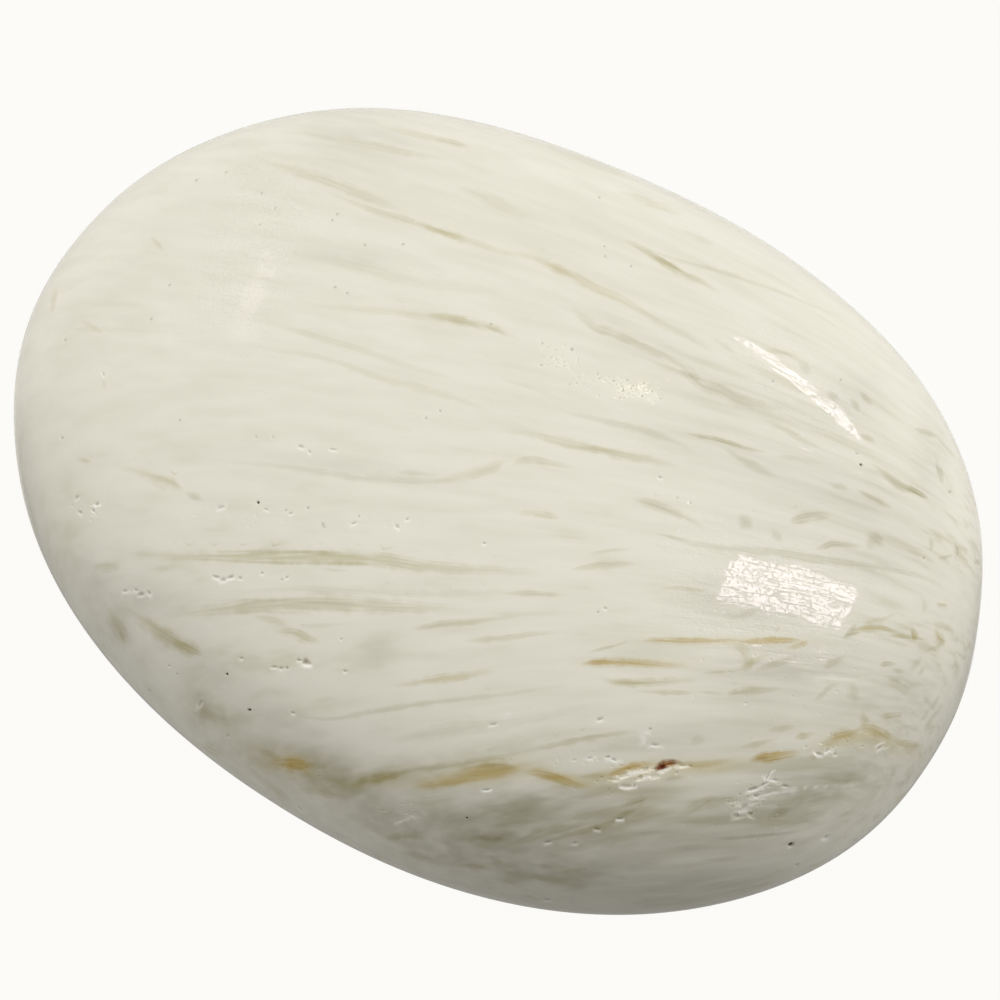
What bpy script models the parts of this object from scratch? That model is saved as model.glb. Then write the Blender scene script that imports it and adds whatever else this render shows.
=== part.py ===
"""Scolecite palm stone: one hand-polished pebble that fills a palm and rests on a small ground flat.

Run with blender --background --python part.py, or from Blender's text editor. Metres, +Z up.
The long axis lies along X. The origin is under the middle of the stone, on the surface it rests on.
"""

import math

import bmesh
import bpy
from mathutils import Vector

MM = 0.001

# Driving dimensions, in millimetres
LENGTH = 68.0  # along X
WIDTH = 51.4  # along Y
THICKNESS = 25.3  # along Z, before the resting flat is ground
FLAT_DEPTH = 0.30  # taken off the belly to make the flat that the stone stands on
FLAT_BLEND = 0.15  # height over which the belly runs into that flat

# Form, as ratios. An exponent of 2 is a plain ellipse, and more is fuller between the axes.
PLAN_FULLNESS = 2.15
PROFILE_FULLNESS = 2.3
EGG = 0.027  # how much wider the +X end is than the middle
LEAN = 0.009  # how far both ends swing towards +Y
WEDGE = 0.05  # how much thicker the +X end is than the middle

# Where the wheel left a little more stone, or took a little more off: the middle of the place
# (azimuth from +X, elevation above the rim), its height in millimetres and its half width, both angles in degrees.
SWELLS = {
    "blunt_end_flat": {"azimuth": 24, "elevation": 0, "height": -0.45, "spread": 14},
    "blunt_end_swell": {"azimuth": -14, "elevation": -14, "height": 0.30, "spread": 16},
    "right_cheek_swell": {"azimuth": 57, "elevation": 12, "height": 0.20, "spread": 13},
    "back_flat": {"azimuth": 103, "elevation": 20, "height": -0.30, "spread": 14},
    "back_tip_swell": {"azimuth": 134, "elevation": 18, "height": 0.25, "spread": 13},
    "thin_end_flat": {"azimuth": 211, "elevation": 0, "height": -0.20, "spread": 14},
}

SQUARES_PER_SIDE = 24  # of the cube that is rounded into the stone

STONE_COLOUR = (0.78, 0.75, 0.64, 1.0)  # linear, warm white
STONE_ROUGHNESS = 0.16


def clear_scene():
    for thing in list(bpy.data.objects):
        bpy.data.objects.remove(thing)


def direction(azimuth, elevation):
    """The unit vector that points that way from the middle of the stone, angles in degrees."""
    around, above = math.radians(azimuth), math.radians(elevation)
    return Vector((math.cos(around) * math.cos(above), math.sin(around) * math.cos(above), math.sin(above)))


def swell_height(unit):
    """How far the surface stands proud of the plain form in this direction, in millimetres."""
    height = 0.0
    for place in SWELLS.values():
        away = 1.0 - unit.dot(direction(place["azimuth"], place["elevation"]))
        reach = 1.0 - math.cos(math.radians(place["spread"]))
        height += place["height"] * math.exp(-away / reach)
    return height


def ground_to_flat(z, flat):
    """z, never below the flat, with a short smooth run into it."""
    overlap = max(FLAT_BLEND - abs(z - flat), 0.0) / FLAT_BLEND
    return max(z, flat) + overlap * overlap * FLAT_BLEND / 4.0


def on_stone(unit):
    """The point of the stone's surface in this direction from its middle, in millimetres above the flat."""
    plan = (abs(unit.x) ** PLAN_FULLNESS + abs(unit.y) ** PLAN_FULLNESS) ** (1.0 / PLAN_FULLNESS)
    reach = (plan**PROFILE_FULLNESS + abs(unit.z) ** PROFILE_FULLNESS) ** (-1.0 / PROFILE_FULLNESS)
    along, across, up = unit * reach
    point = Vector(
        (
            LENGTH / 2 * along,
            WIDTH / 2 * (across * (1.0 + EGG * along) + LEAN * along * along),
            THICKNESS / 2 * up * (1.0 + WEDGE * along),
        )
    )
    point *= 1.0 + swell_height(unit) / point.length
    flat = FLAT_DEPTH - THICKNESS / 2
    return Vector((point.x, point.y, ground_to_flat(point.z, flat) - flat))


def rounded_cube(bm):
    """A unit sphere of even squares, made from a cube whose grid lines are spaced by equal angles."""
    bmesh.ops.create_cube(bm, size=2.0)
    bmesh.ops.subdivide_edges(bm, edges=bm.edges[:], cuts=SQUARES_PER_SIDE - 1, use_grid_fill=True)
    for vertex in bm.verts:
        spaced = [math.tan(math.pi / 4 * value) for value in vertex.co]
        vertex.co = Vector(spaced).normalized()


def centred(bm):
    """Moves the stone so that the middle of its plan is over the origin."""
    for axis in (0, 1):
        places = [vertex.co[axis] for vertex in bm.verts]
        middle = (min(places) + max(places)) / 2
        for vertex in bm.verts:
            vertex.co[axis] -= middle


def polished_scolecite():
    material = bpy.data.materials.new("polished scolecite")
    material.use_nodes = True
    surface = material.node_tree.nodes["Principled BSDF"]
    surface.inputs["Base Color"].default_value = STONE_COLOUR
    surface.inputs["Roughness"].default_value = STONE_ROUGHNESS
    surface.inputs["Metallic"].default_value = 0.0
    return material


def palm_stone():
    bm = bmesh.new()
    rounded_cube(bm)
    for vertex in bm.verts:
        vertex.co = on_stone(vertex.co) * MM
    centred(bm)
    bmesh.ops.recalc_face_normals(bm, faces=bm.faces[:])
    mesh = bpy.data.meshes.new("palm_stone")
    bm.to_mesh(mesh)
    bm.free()
    mesh.shade_smooth()
    mesh.materials.append(polished_scolecite())
    stone = bpy.data.objects.new("palm_stone", mesh)
    bpy.context.scene.collection.objects.link(stone)
    return stone


clear_scene()
palm_stone()
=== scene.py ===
import math

import bmesh
import bpy
import numpy as np
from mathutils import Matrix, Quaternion, Vector
from mathutils.bvhtree import BVHTree


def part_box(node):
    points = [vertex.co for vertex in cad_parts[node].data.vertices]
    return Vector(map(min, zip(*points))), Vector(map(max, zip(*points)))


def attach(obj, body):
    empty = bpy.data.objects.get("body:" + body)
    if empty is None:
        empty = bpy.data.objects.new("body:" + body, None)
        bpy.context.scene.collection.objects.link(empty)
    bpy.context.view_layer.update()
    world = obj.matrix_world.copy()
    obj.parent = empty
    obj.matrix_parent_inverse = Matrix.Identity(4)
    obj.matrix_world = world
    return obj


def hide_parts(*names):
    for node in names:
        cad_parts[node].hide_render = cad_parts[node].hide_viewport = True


# A palm stone of white scolecite: one hand-polished pebble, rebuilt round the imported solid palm_stone.
# Metres in the scene, millimetres in the dictionaries, and pixels for places of a 1000 x 1000 picture.

mm = 0.001
pictureSide = 1000  # pixels

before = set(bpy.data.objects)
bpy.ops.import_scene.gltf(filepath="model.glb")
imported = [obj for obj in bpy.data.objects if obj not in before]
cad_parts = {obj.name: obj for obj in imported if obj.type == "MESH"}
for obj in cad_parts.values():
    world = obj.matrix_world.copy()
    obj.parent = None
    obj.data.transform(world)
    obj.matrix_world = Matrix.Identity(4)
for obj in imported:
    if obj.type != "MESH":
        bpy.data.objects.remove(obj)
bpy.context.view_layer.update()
print("frame loaded")


# Adds one node. Its inputs are given in order, or as a dictionary by name, and each is a value, a socket
# or a node, which stands for its first output. None leaves an input alone. The node's own settings are
# given by name.
def addNode(tree, kind, *inputs, **settings):
    node = tree.nodes.new(kind)
    for name, value in settings.items():
        setattr(node, name, value)
    named = inputs[0].items() if inputs and isinstance(inputs[0], dict) else enumerate(inputs)
    for place, value in named:
        if isinstance(value, bpy.types.Node):
            value = value.outputs[0]
        if isinstance(value, bpy.types.NodeSocket):
            tree.links.new(value, node.inputs[place])
        elif value is not None:
            node.inputs[place].default_value = value
    return node


# sRGB hex to linear colour with alpha
def colour(hexCode):
    parts = [int(hexCode[i : i + 2], 16) / 255 for i in (1, 3, 5)]
    return tuple(c / 12.92 if c <= 0.04045 else ((c + 0.055) / 1.055) ** 2.4 for c in parts) + (1.0,)


# Where the viewer stands. Every place in pixels below is cast from here onto the stone.
camera = {
    "azimuth": 33.83,  # degrees that the viewer stands round from the front
    "elevation": 60.0,  # degrees above the table
    "distance": 420.0,  # mm to the middle of the stone
    "lens": 229.15,  # mm
    "sensor": 36.0,  # mm wide
    "clip": (0.01, 20.0),  # m
    "middleHeight": 12.5,  # mm, of the point looked at
    "aimRight": 0.52,  # mm that the view is centred to the right of that point
    "aimDown": 0.11,  # mm that it is centred below it
}

turn = math.radians(camera["azimuth"])
lift = math.radians(camera["elevation"])
viewRight = Vector((math.cos(turn), math.sin(turn), 0.0))
viewBack = Vector((math.sin(turn) * math.cos(lift), -math.cos(turn) * math.cos(lift), math.sin(lift)))
viewUp = viewBack.cross(viewRight)
viewAhead = Vector((-math.sin(turn), math.cos(turn), 0.0))  # level, away from the viewer
aimShift = viewRight * camera["aimRight"] - viewUp * camera["aimDown"]
aim = Vector((0, 0, camera["middleHeight"] * mm)) + aimShift * mm
eye = aim + viewBack * camera["distance"] * mm
pixelsPerSlope = pictureSide * camera["lens"] / camera["sensor"]


def makeCamera():
    lens = bpy.data.cameras.new("camera")
    lens.lens = camera["lens"]
    lens.sensor_width = camera["sensor"]
    lens.clip_start, lens.clip_end = camera["clip"]
    holder = bpy.data.objects.new("camera", lens)
    holder.location = eye
    holder.rotation_mode = "QUATERNION"
    holder.rotation_quaternion = (-viewBack).to_track_quat("-Z", "Y")
    bpy.context.scene.collection.objects.link(holder)
    bpy.context.scene.camera = holder


# Where the camera sees each point, in pixels
def pixelsOf(points):
    fromEye = points - np.array(eye)
    depth = -(fromEye @ np.array(viewBack))
    across = pictureSide / 2 + pixelsPerSlope * (fromEye @ np.array(viewRight)) / depth
    down = pictureSide / 2 - pixelsPerSlope * (fromEye @ np.array(viewUp)) / depth
    return np.stack([across, down], 1)


# The ray through a pixel
def rayThrough(pixel):
    across = (pixel[0] - pictureSide / 2) / pixelsPerSlope
    down = (pixel[1] - pictureSide / 2) / pixelsPerSlope
    return (viewRight * across - viewUp * down - viewBack).normalized()


# The smooth stone, by the titles of its tree's inputs. Sizes are in mm.
stoneForm = {
    "Squares per Side": 64,  # of the cube that is rounded into the stone
    "Length": 68.0,
    "Width": 51.4,
    "Thickness": 25.3,  # before the resting flat is ground
    "Plan Fullness": 2.15,  # exponents: 2 is a plain ellipse, more is fuller between the axes
    "Profile Fullness": 2.3,
    "Egg": 0.027,  # how much wider the +X end is than the middle
    "Lean": 0.009,  # how far both ends swing towards +Y
    "Wedge": 0.05,  # how much thicker the +X end is
    "Flat Depth": 0.30,  # of stone that the resting flat takes off
    "Flat Blend": 0.15,  # how softly the flat meets the belly
}

# Where the wheel left a little more stone, or took a little more off: azimuth and elevation in degrees,
# height in mm, half width in degrees
swells = {
    "bluntEndFlat": (24, 0, -0.45, 14),
    "bluntEndSwell": (-14, -14, 0.30, 16),
    "rightCheekSwell": (57, 12, 0.20, 13),
    "backFlat": (103, 20, -0.30, 14),
    "backTipSwell": (134, 18, 0.25, 13),
    "thinEndFlat": (211, 0, -0.20, 14),
}


def newTree(name, inputs):
    tree = bpy.data.node_groups.new(name, "GeometryNodeTree")
    for title, kind in inputs.items():
        tree.interface.new_socket(name=title, in_out="INPUT", socket_type=kind)
    tree.interface.new_socket(name="Geometry", in_out="OUTPUT", socket_type="NodeSocketGeometry")
    return tree


# Sets a Geometry Nodes modifier's inputs by their titles, and returns what it makes as a plain mesh
def meshFromTree(tree, name, values, base=None):
    thing = bpy.data.objects.new(name, base or bpy.data.meshes.new(name))
    bpy.context.scene.collection.objects.link(thing)
    modifier = thing.modifiers.new("nodes", "NODES")
    modifier.node_group = tree
    for item in tree.interface.items_tree:
        if item.in_out == "INPUT" and item.name in values:
            modifier[item.identifier] = values[item.name]
    bpy.context.view_layer.update()
    graph = bpy.context.evaluated_depsgraph_get()
    mesh = bpy.data.meshes.new_from_object(thing.evaluated_get(graph))
    bpy.data.objects.remove(thing)
    return mesh


# Unit sphere of even squares -> superellipsoid -> swells -> resting flat
def formTree():
    kinds = {title: "NodeSocketFloat" for title in stoneForm}
    kinds["Squares per Side"] = "NodeSocketInt"
    tree = newTree("stoneForm", kinds | {"Material": "NodeSocketMaterial"})
    given = addNode(tree, "NodeGroupInput").outputs

    lines = addNode(tree, "ShaderNodeMath", given["Squares per Side"], 1.0, operation="ADD")
    cube = addNode(tree, "GeometryNodeMeshCube", (2, 2, 2), lines, lines, lines)
    place = addNode(tree, "ShaderNodeSeparateXYZ", addNode(tree, "GeometryNodeInputPosition"))
    spaced = []
    for axis in place.outputs:
        angle = addNode(tree, "ShaderNodeMath", axis, math.pi / 4, operation="MULTIPLY")
        spaced.append(addNode(tree, "ShaderNodeMath", angle, operation="TANGENT"))
    unit = addNode(
        tree, "ShaderNodeVectorMath", addNode(tree, "ShaderNodeCombineXYZ", *spaced), operation="NORMALIZE"
    )

    powers = []
    for axis, fullness in zip("XYZ", ("Plan Fullness", "Plan Fullness", "Profile Fullness")):
        size = addNode(tree, "ShaderNodeSeparateXYZ", unit).outputs[axis]
        size = addNode(tree, "ShaderNodeMath", size, operation="ABSOLUTE")
        powers.append(addNode(tree, "ShaderNodeMath", size, given[fullness], operation="POWER"))
    plan = addNode(tree, "ShaderNodeMath", powers[0], powers[1], operation="ADD")
    ratio = addNode(
        tree, "ShaderNodeMath", given["Profile Fullness"], given["Plan Fullness"], operation="DIVIDE"
    )
    plan = addNode(tree, "ShaderNodeMath", plan, ratio, operation="POWER")
    both = addNode(tree, "ShaderNodeMath", plan, powers[2], operation="ADD")
    root = addNode(tree, "ShaderNodeMath", -1.0, given["Profile Fullness"], operation="DIVIDE")
    reach = addNode(tree, "ShaderNodeMath", both, root, operation="POWER")
    shell = addNode(tree, "ShaderNodeVectorMath", {0: unit, "Scale": reach}, operation="SCALE")
    along, across, up = addNode(tree, "ShaderNodeSeparateXYZ", shell).outputs

    egg = addNode(tree, "ShaderNodeMath", given["Egg"], along, 1.0, operation="MULTIPLY_ADD")
    wide = addNode(tree, "ShaderNodeMath", across, egg, operation="MULTIPLY")
    swing = addNode(tree, "ShaderNodeMath", along, along, operation="MULTIPLY")
    wide = addNode(tree, "ShaderNodeMath", given["Lean"], swing, wide, operation="MULTIPLY_ADD")
    wedge = addNode(tree, "ShaderNodeMath", given["Wedge"], along, 1.0, operation="MULTIPLY_ADD")
    tall = addNode(tree, "ShaderNodeMath", up, wedge, operation="MULTIPLY")
    ratios = addNode(tree, "ShaderNodeCombineXYZ", along, wide, tall)
    size = addNode(tree, "ShaderNodeCombineXYZ", given["Length"], given["Width"], given["Thickness"])
    half = addNode(tree, "ShaderNodeVectorMath", {0: size, "Scale": 0.5}, operation="SCALE")
    point = addNode(tree, "ShaderNodeVectorMath", ratios, half, operation="MULTIPLY")

    height = 0.0
    for azimuth, elevation, proud, spread in swells.values():
        around, above = math.radians(azimuth), math.radians(elevation)
        way = (math.cos(around) * math.cos(above), math.sin(around) * math.cos(above), math.sin(above))
        near = addNode(tree, "ShaderNodeVectorMath", unit, way, operation="DOT_PRODUCT").outputs["Value"]
        away = addNode(tree, "ShaderNodeMath", near, 1.0, operation="SUBTRACT")
        away = addNode(
            tree, "ShaderNodeMath", away, 1.0 - math.cos(math.radians(spread)), operation="DIVIDE"
        )
        bell = addNode(tree, "ShaderNodeMath", away, operation="EXPONENT")
        height = addNode(tree, "ShaderNodeMath", bell, proud, height, operation="MULTIPLY_ADD")
    outward = addNode(tree, "ShaderNodeVectorMath", point, operation="NORMALIZE")
    outward = addNode(tree, "ShaderNodeVectorMath", {0: outward, "Scale": height}, operation="SCALE")
    point = addNode(tree, "ShaderNodeVectorMath", point, outward, operation="ADD")

    level = addNode(
        tree, "ShaderNodeMath", given["Thickness"], -0.5, given["Flat Depth"], operation="MULTIPLY_ADD"
    )
    right, back, high = addNode(tree, "ShaderNodeSeparateXYZ", point).outputs
    high = addNode(tree, "ShaderNodeMath", high, level, given["Flat Blend"], operation="SMOOTH_MAX")
    high = addNode(tree, "ShaderNodeMath", high, level, operation="SUBTRACT")
    point = addNode(tree, "ShaderNodeCombineXYZ", right, back, high)
    point = addNode(tree, "ShaderNodeVectorMath", {0: point, "Scale": mm}, operation="SCALE")

    moved = addNode(tree, "GeometryNodeSetPosition", {"Geometry": cube, "Position": point})
    real = addNode(tree, "GeometryNodeRealizeInstances", moved)
    finished = addNode(tree, "GeometryNodeSetMaterial", {"Geometry": real, "Material": given["Material"]})
    addNode(tree, "NodeGroupOutput", finished)
    return tree


def readPoints(mesh):
    points = np.empty(len(mesh.vertices) * 3, np.float32)
    mesh.vertices.foreach_get("co", points)
    return points.reshape(-1, 3).astype(float)


# Slides and scales the mesh by the few hundredths of a millimetre that put it exactly in the CAD solid's box
def fitToBox(mesh, box):
    points = readPoints(mesh)
    low, high = points.min(0), points.max(0)
    boxLow, boxHigh = np.array(box[0]), np.array(box[1])
    points = boxLow + (points - low) / (high - low) * (boxHigh - boxLow)
    mesh.vertices.foreach_set("co", points.astype(np.float32).ravel())
    mesh.update()


# The point where a pixel's ray meets the stone, or None
def onStone(surface, pixel):
    return surface.ray_cast(eye, rayThrough(pixel))[0]


# Where the needles grew from: a point beyond the blunt end
sprayCentre = Vector((66.0, 24.6, 8.8)) * mm

# Small hollows: pits where needle ends have dropped out of the polish, chips along the crack, and round
# holes. Each is its middle, length and width in pixels, its turn in degrees and its depth in mm.
pits = {
    "places": [
        (797, 865, 4, 2, -20, 0.06), (547, 900, 8, 2, 0, 0.06),  # faint ones near the lower rim
        (306, 662, 12, 7, 15, 0.20), (299, 660, 5, 3, 10, 0.10), (274, 667, 7, 3, 0, 0.08),
        (281, 668, 5, 3, 5, 0.08), (287, 668, 4, 3, 20, 0.09), (241, 658, 5, 3, 10, 0.06),
        (216, 577, 9, 4, 20, 0.07), (223, 580, 8, 4, -10, 0.08), (231, 577, 8, 4, -15, 0.09),
        (240, 578, 6, 3, 10, 0.06), (282, 580, 4, 3, 60, 0.07), (287, 577, 5, 3, -30, 0.05),
        (262, 573, 5, 3, 0, 0.04), (125, 591, 7, 3, 0, 0.05), (136, 590, 5, 3, 15, 0.05),
        (141, 594, 9, 4, -10, 0.07), (149, 593, 6, 4, 40, 0.06), (345, 671, 5, 3, 10, 0.07),
        (341, 639, 3, 3, 0, 0.07), (169, 666, 3, 3, 0, 0.07), (177, 674, 3, 3, 0, 0.05),
        (149, 690, 3, 3, 0, 0.06), (293, 713, 5, 3, 15, 0.09), (97, 504, 9, 4, -20, 0.08),
        (93, 510, 6, 4, 40, 0.06), (80, 512, 6, 4, 30, 0.04), (77, 497, 6, 4, -40, 0.03),
        (221, 507, 10, 4, -20, 0.06), (266, 509, 6, 3, 20, 0.04), (286, 510, 3, 3, 0, 0.05),
        (291, 513, 5, 3, -20, 0.05), (308, 508, 4, 3, -30, 0.04), (323, 524, 4, 8, -20, 0.05),
        (354, 523, 8, 3, -20, 0.05), (359, 516, 3, 3, 0, 0.04), (397, 526, 7, 4, 40, 0.08),
        (407, 519, 5, 3, -30, 0.05), (484, 543, 5, 3, 10, 0.05), (309, 451, 5, 3, 50, 0.06),
        (301, 446, 8, 4, 20, 0.03), (333, 449, 9, 3, 10, 0.03), (256, 437, 3, 3, 0, 0.05),
        (273, 437, 3, 3, 0, 0.04), (180, 420, 4, 3, 0, 0.05), (440, 411, 4, 3, 0, 0.05),
        (426, 418, 4, 3, 0, 0.05), (491, 324, 4, 3, 20, 0.06), (335, 287, 4, 3, 0, 0.06),
        (347, 293, 4, 3, 0, 0.05), (365, 245, 4, 3, 10, 0.05), (403, 244, 4, 3, 0, 0.05),
        (337, 214, 4, 3, 0, 0.05), (332, 220, 3, 3, 0, 0.04), (196, 180, 4, 3, 0, 0.06),
        (226, 172, 3, 3, 0, 0.06), (261, 193, 4, 3, 10, 0.06), (275, 208, 4, 3, 0, 0.05),
        (260, 224, 3, 3, 0, 0.05), (169, 285, 4, 3, 0, 0.05), (151, 319, 4, 3, 0, 0.05),
        (103, 374, 5, 3, 70, 0.06), (65, 340, 3, 3, 0, 0.05), (62, 438, 4, 3, 0, 0.05),
        (604, 246, 4, 3, 0, 0.05), (605, 256, 3, 3, 0, 0.05), (631, 266, 4, 3, 0, 0.05),
        (599, 197, 3, 3, 0, 0.05), (541, 365, 4, 3, 20, 0.06), (572, 349, 4, 4, 0, 0.09),
        (841, 380, 4, 3, 0, 0.05), (773, 381, 4, 3, 0, 0.05), (690, 503, 3, 3, 0, 0.05),
        (677, 498, 3, 3, 0, 0.03), (660, 477, 6, 3, 20, 0.04), (605, 608, 5, 3, 20, 0.05),
        (598, 612, 4, 3, 0, 0.03), (600, 719, 8, 4, -15, 0.05), (493, 724, 10, 3, -10, 0.04),
        (487, 790, 9, 2.5, -5, 0.06), (620, 819, 8, 3, 0, 0.08), (597, 829, 8, 3, 10, 0.06),
        (548, 842, 8, 3, -10, 0.05), (575, 843, 6, 3, 0, 0.04), (826, 838, 6, 4, -20, 0.08),
        (300, 809, 5, 4, 0, 0.06), (228, 736, 4, 3, 0, 0.05), (200, 703, 10, 5, -60, 0.05),
        (924, 558, 4, 3, 0, 0.05), (950, 492, 4, 3, 0, 0.05), (857, 453, 4, 3, 0, 0.05),
        (819, 754, 9, 3, 20, 0.08), (827, 751, 6, 3, -40, 0.07), (835, 754, 5, 3, 0, 0.05),
        (880, 747, 9, 3, -40, 0.05), (768, 776, 12, 3, -60, 0.07), (775, 780, 13, 3, 15, 0.08),
        (753, 789, 16, 4, -15, 0.09), (764, 784, 11, 3, -30, 0.08), (785, 786, 8, 3, 10, 0.06),
        (757, 796, 17, 4, 0, 0.10), (742, 807, 16, 5, -5, 0.11), (738, 815, 14, 5, -12, 0.12),
        (751, 814, 9, 5, 20, 0.10), (650, 729, 4, 3, 0, 0.05), (655, 745, 9, 3, 5, 0.07),
        (608, 757, 7, 3, 0, 0.06), (614, 760, 8, 3, 20, 0.07), (590, 758, 7, 3, -5, 0.05),
    ],
    # holes deep and narrow enough to look black
    "holes": [
        (258, 502, 3, 3, 0, 0.22), (249, 710, 4, 3, 0, 0.22), (467, 818, 3, 2, 0, 0.12),
        (791, 845, 6, 4, -30, 0.25), (861, 464, 3, 3, 0, 0.18), (227, 674, 3, 3, 0, 0.10),
    ],
    # broken needle ends along the crack, as plates and slots
    "crack": [
        (622, 776, 26, 5, -14, 0.20), (645, 770, 30, 5, -8, 0.24), (640, 778, 32, 5, -6, 0.20),
        (627, 787, 18, 5, 4, 0.14), (662, 767, 18, 7, -28, 0.26), (672, 764, 14, 6, -20, 0.24),
        (655, 777, 22, 4, -10, 0.16), (681, 765, 8, 4, 20, 0.14), (615, 780, 12, 3, 5, 0.12),
        (690, 766, 6, 3, 0, 0.08),
    ],
    # patches of fine pits: middle, half length, half width, turn, how many, depth
    "patches": [
        (561, 359, 27, 13, 32, 26, 0.07), (634, 391, 46, 13, 12, 60, 0.08), (640, 389, 20, 9, 10, 26, 0.10),
        (768, 690, 70, 50, 0, 16, 0.03), (395, 805, 25, 14, 0, 16, 0.05), (306, 768, 22, 7, 10, 12, 0.05),
        (840, 745, 60, 14, -6, 18, 0.05), (90, 515, 16, 18, 20, 12, 0.03), (640, 775, 42, 14, -10, 26, 0.07),
        (230, 517, 60, 10, 5, 14, 0.03), (400, 525, 60, 12, 5, 10, 0.03), (755, 800, 34, 20, -10, 34, 0.07),
        (560, 760, 60, 10, 0, 12, 0.04), (470, 855, 120, 22, 6, 8, 0.04), (700, 830, 90, 26, -8, 7, 0.04),
    ],
    # how the pits of a patch vary
    "patchSpread": 0.5,  # of the patch's half sizes, for two pits in three
    "patchLengths": (1.2, 4.8),  # pixels
    "patchWidths": (1.0, 2.1),
    "patchTurn": 35,  # degrees either way, for two in three
    "patchDepths": (0.6, 1.6),  # to the patch's own
    # pits on the sides and the underside
    "hiddenCount": 90,
    "hiddenFacing": 0.05,  # how far a surface may still face the viewer
    "hiddenHalfWidths": (0.08, 0.22),  # mm
    "hiddenLengths": (1.0, 2.6),  # to their width
    "hiddenDepths": (0.04, 0.16),  # mm
    # how dark a floor is painted, with dirt and painted shade, from 0 for clean stone to 1 for a hole
    "placeDirtAndShade": 0.35,
    "holeDirtAndShade": 1.0,
    "crackDirtAndShade": 0.0,
    "patchDirtAndShade": (4.6, 1.5),  # per mm of depth, for a dark pit and a pale one
    "darkShare": 0.4,  # of a patch's pits
    "hiddenDarkShare": 0.15,
    "step": 3.0,  # pixels along and across that show a pit's directions on the stone
    "slope": (1.25, 0.35),  # half widths from its middle where the slope of a pit starts and ends
    "seed": 11,  # of the patches and the hidden pits
    "raggedness": 0.55,  # how far a rim wanders, as a share of the pit's half width
    "raggedScale": 5.5,  # per mm
    "raggedDetail": 3.0,
    "waviness": 0.010,  # mm of slow unevenness left by polishing by hand
    "wavinessScale": 0.11,  # per mm
}


# One hollow as a place on the stone: where, which way its length runs, its half length and half width, its
# depth and how dark its floor is painted with dirt and shade
def hollow(surface, row, kind):
    across, down, length, width, degrees, depth = row
    point = onStone(surface, (across, down))
    if point is None:
        return None
    step = pits["step"]
    a = math.radians(degrees)
    ahead = onStone(surface, (across + step * math.cos(a), down + step * math.sin(a)))
    beside = onStone(surface, (across - step * math.sin(a), down + step * math.cos(a)))
    if ahead is None or beside is None:
        return None
    along = ahead - point
    halfLength = length / 2 * along.length / step
    halfWidth = width / 2 * (beside - point).length / step
    return {
        "place": point,
        "along": along.normalized(),
        "halfLength": halfLength,
        "halfWidth": halfWidth,
        "depth": depth * mm,
        "kind": kind,
    }


def allHollows(surface, stoneMesh):
    chance = np.random.default_rng(pits["seed"])
    rows = [(row, pits["placeDirtAndShade"]) for row in pits["places"]]
    rows += [(row, pits["holeDirtAndShade"]) for row in pits["holes"]]
    rows += [(row, pits["crackDirtAndShade"]) for row in pits["crack"]]
    # how dark a patch's pits are painted, with dirt and painted shade, for a dark pit and a pale one
    darkDirtAndShade, paleDirtAndShade = pits["patchDirtAndShade"]
    for across, down, halfLong, halfShort, degrees, count, patchDepth in pits["patches"]:
        a = math.radians(degrees)
        for _ in range(count):
            far, side = chance.normal(size=2) * pits["patchSpread"]
            x = across + halfLong * far * math.cos(a) - halfShort * side * math.sin(a)
            y = down + halfLong * far * math.sin(a) + halfShort * side * math.cos(a)
            length = chance.uniform(*pits["patchLengths"])
            width = chance.uniform(*pits["patchWidths"])
            pitTurn = degrees + chance.normal() * pits["patchTurn"]
            depth = patchDepth * chance.uniform(*pits["patchDepths"])
            kind = (darkDirtAndShade if chance.random() < pits["darkShare"] else paleDirtAndShade) * patchDepth
            rows.append(((x, y, length, width, pitTurn, depth), kind))
    found = [hollow(surface, row, kind) for row, kind in rows]
    found = [one for one in found if one]
    # the rest of the stone, wherever the camera doesn't look
    faces = [face for face in stoneMesh.polygons if face.normal.dot(viewBack) < pits["hiddenFacing"]]
    for index in chance.integers(len(faces), size=pits["hiddenCount"]):
        face = faces[index]
        fromSpray = face.center - sprayCentre
        along = (fromSpray - face.normal * fromSpray.dot(face.normal)).normalized()
        halfWidth = chance.uniform(*pits["hiddenHalfWidths"])
        found.append({
            "place": face.center.copy(),
            "along": along,
            "halfLength": halfWidth * chance.uniform(*pits["hiddenLengths"]) * mm,
            "halfWidth": halfWidth * mm,
            "depth": chance.uniform(*pits["hiddenDepths"]) * mm,
            "kind": float(chance.random() < pits["hiddenDarkShare"]),
        })
    return found


# How fine the mesh is near each detail
fineness = {
    "rounds": 5,  # of splitting
    "growth": 0.75,  # how fast the cells may grow with the distance from a detail
    "longest": 1.35,  # an edge may be this many cells long
    "spread": 2.0,  # mm beyond a detail's reach, where the mesh is coarse again
    "coarse": 1.0,  # m, no limit
    "hollowReach": 1.15,  # to a hollow's half length
    "hollowCell": 0.5,  # to its half width
    "smallestCell": 0.06,  # mm
    "streakSteps": 2,  # from one given pixel of a streak to the next
    "streakMargin": 4,  # pixels beside a streak
    "streakReach": 0.07,  # mm to a pixel
    "streakCell": 0.34,  # mm
}


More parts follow.
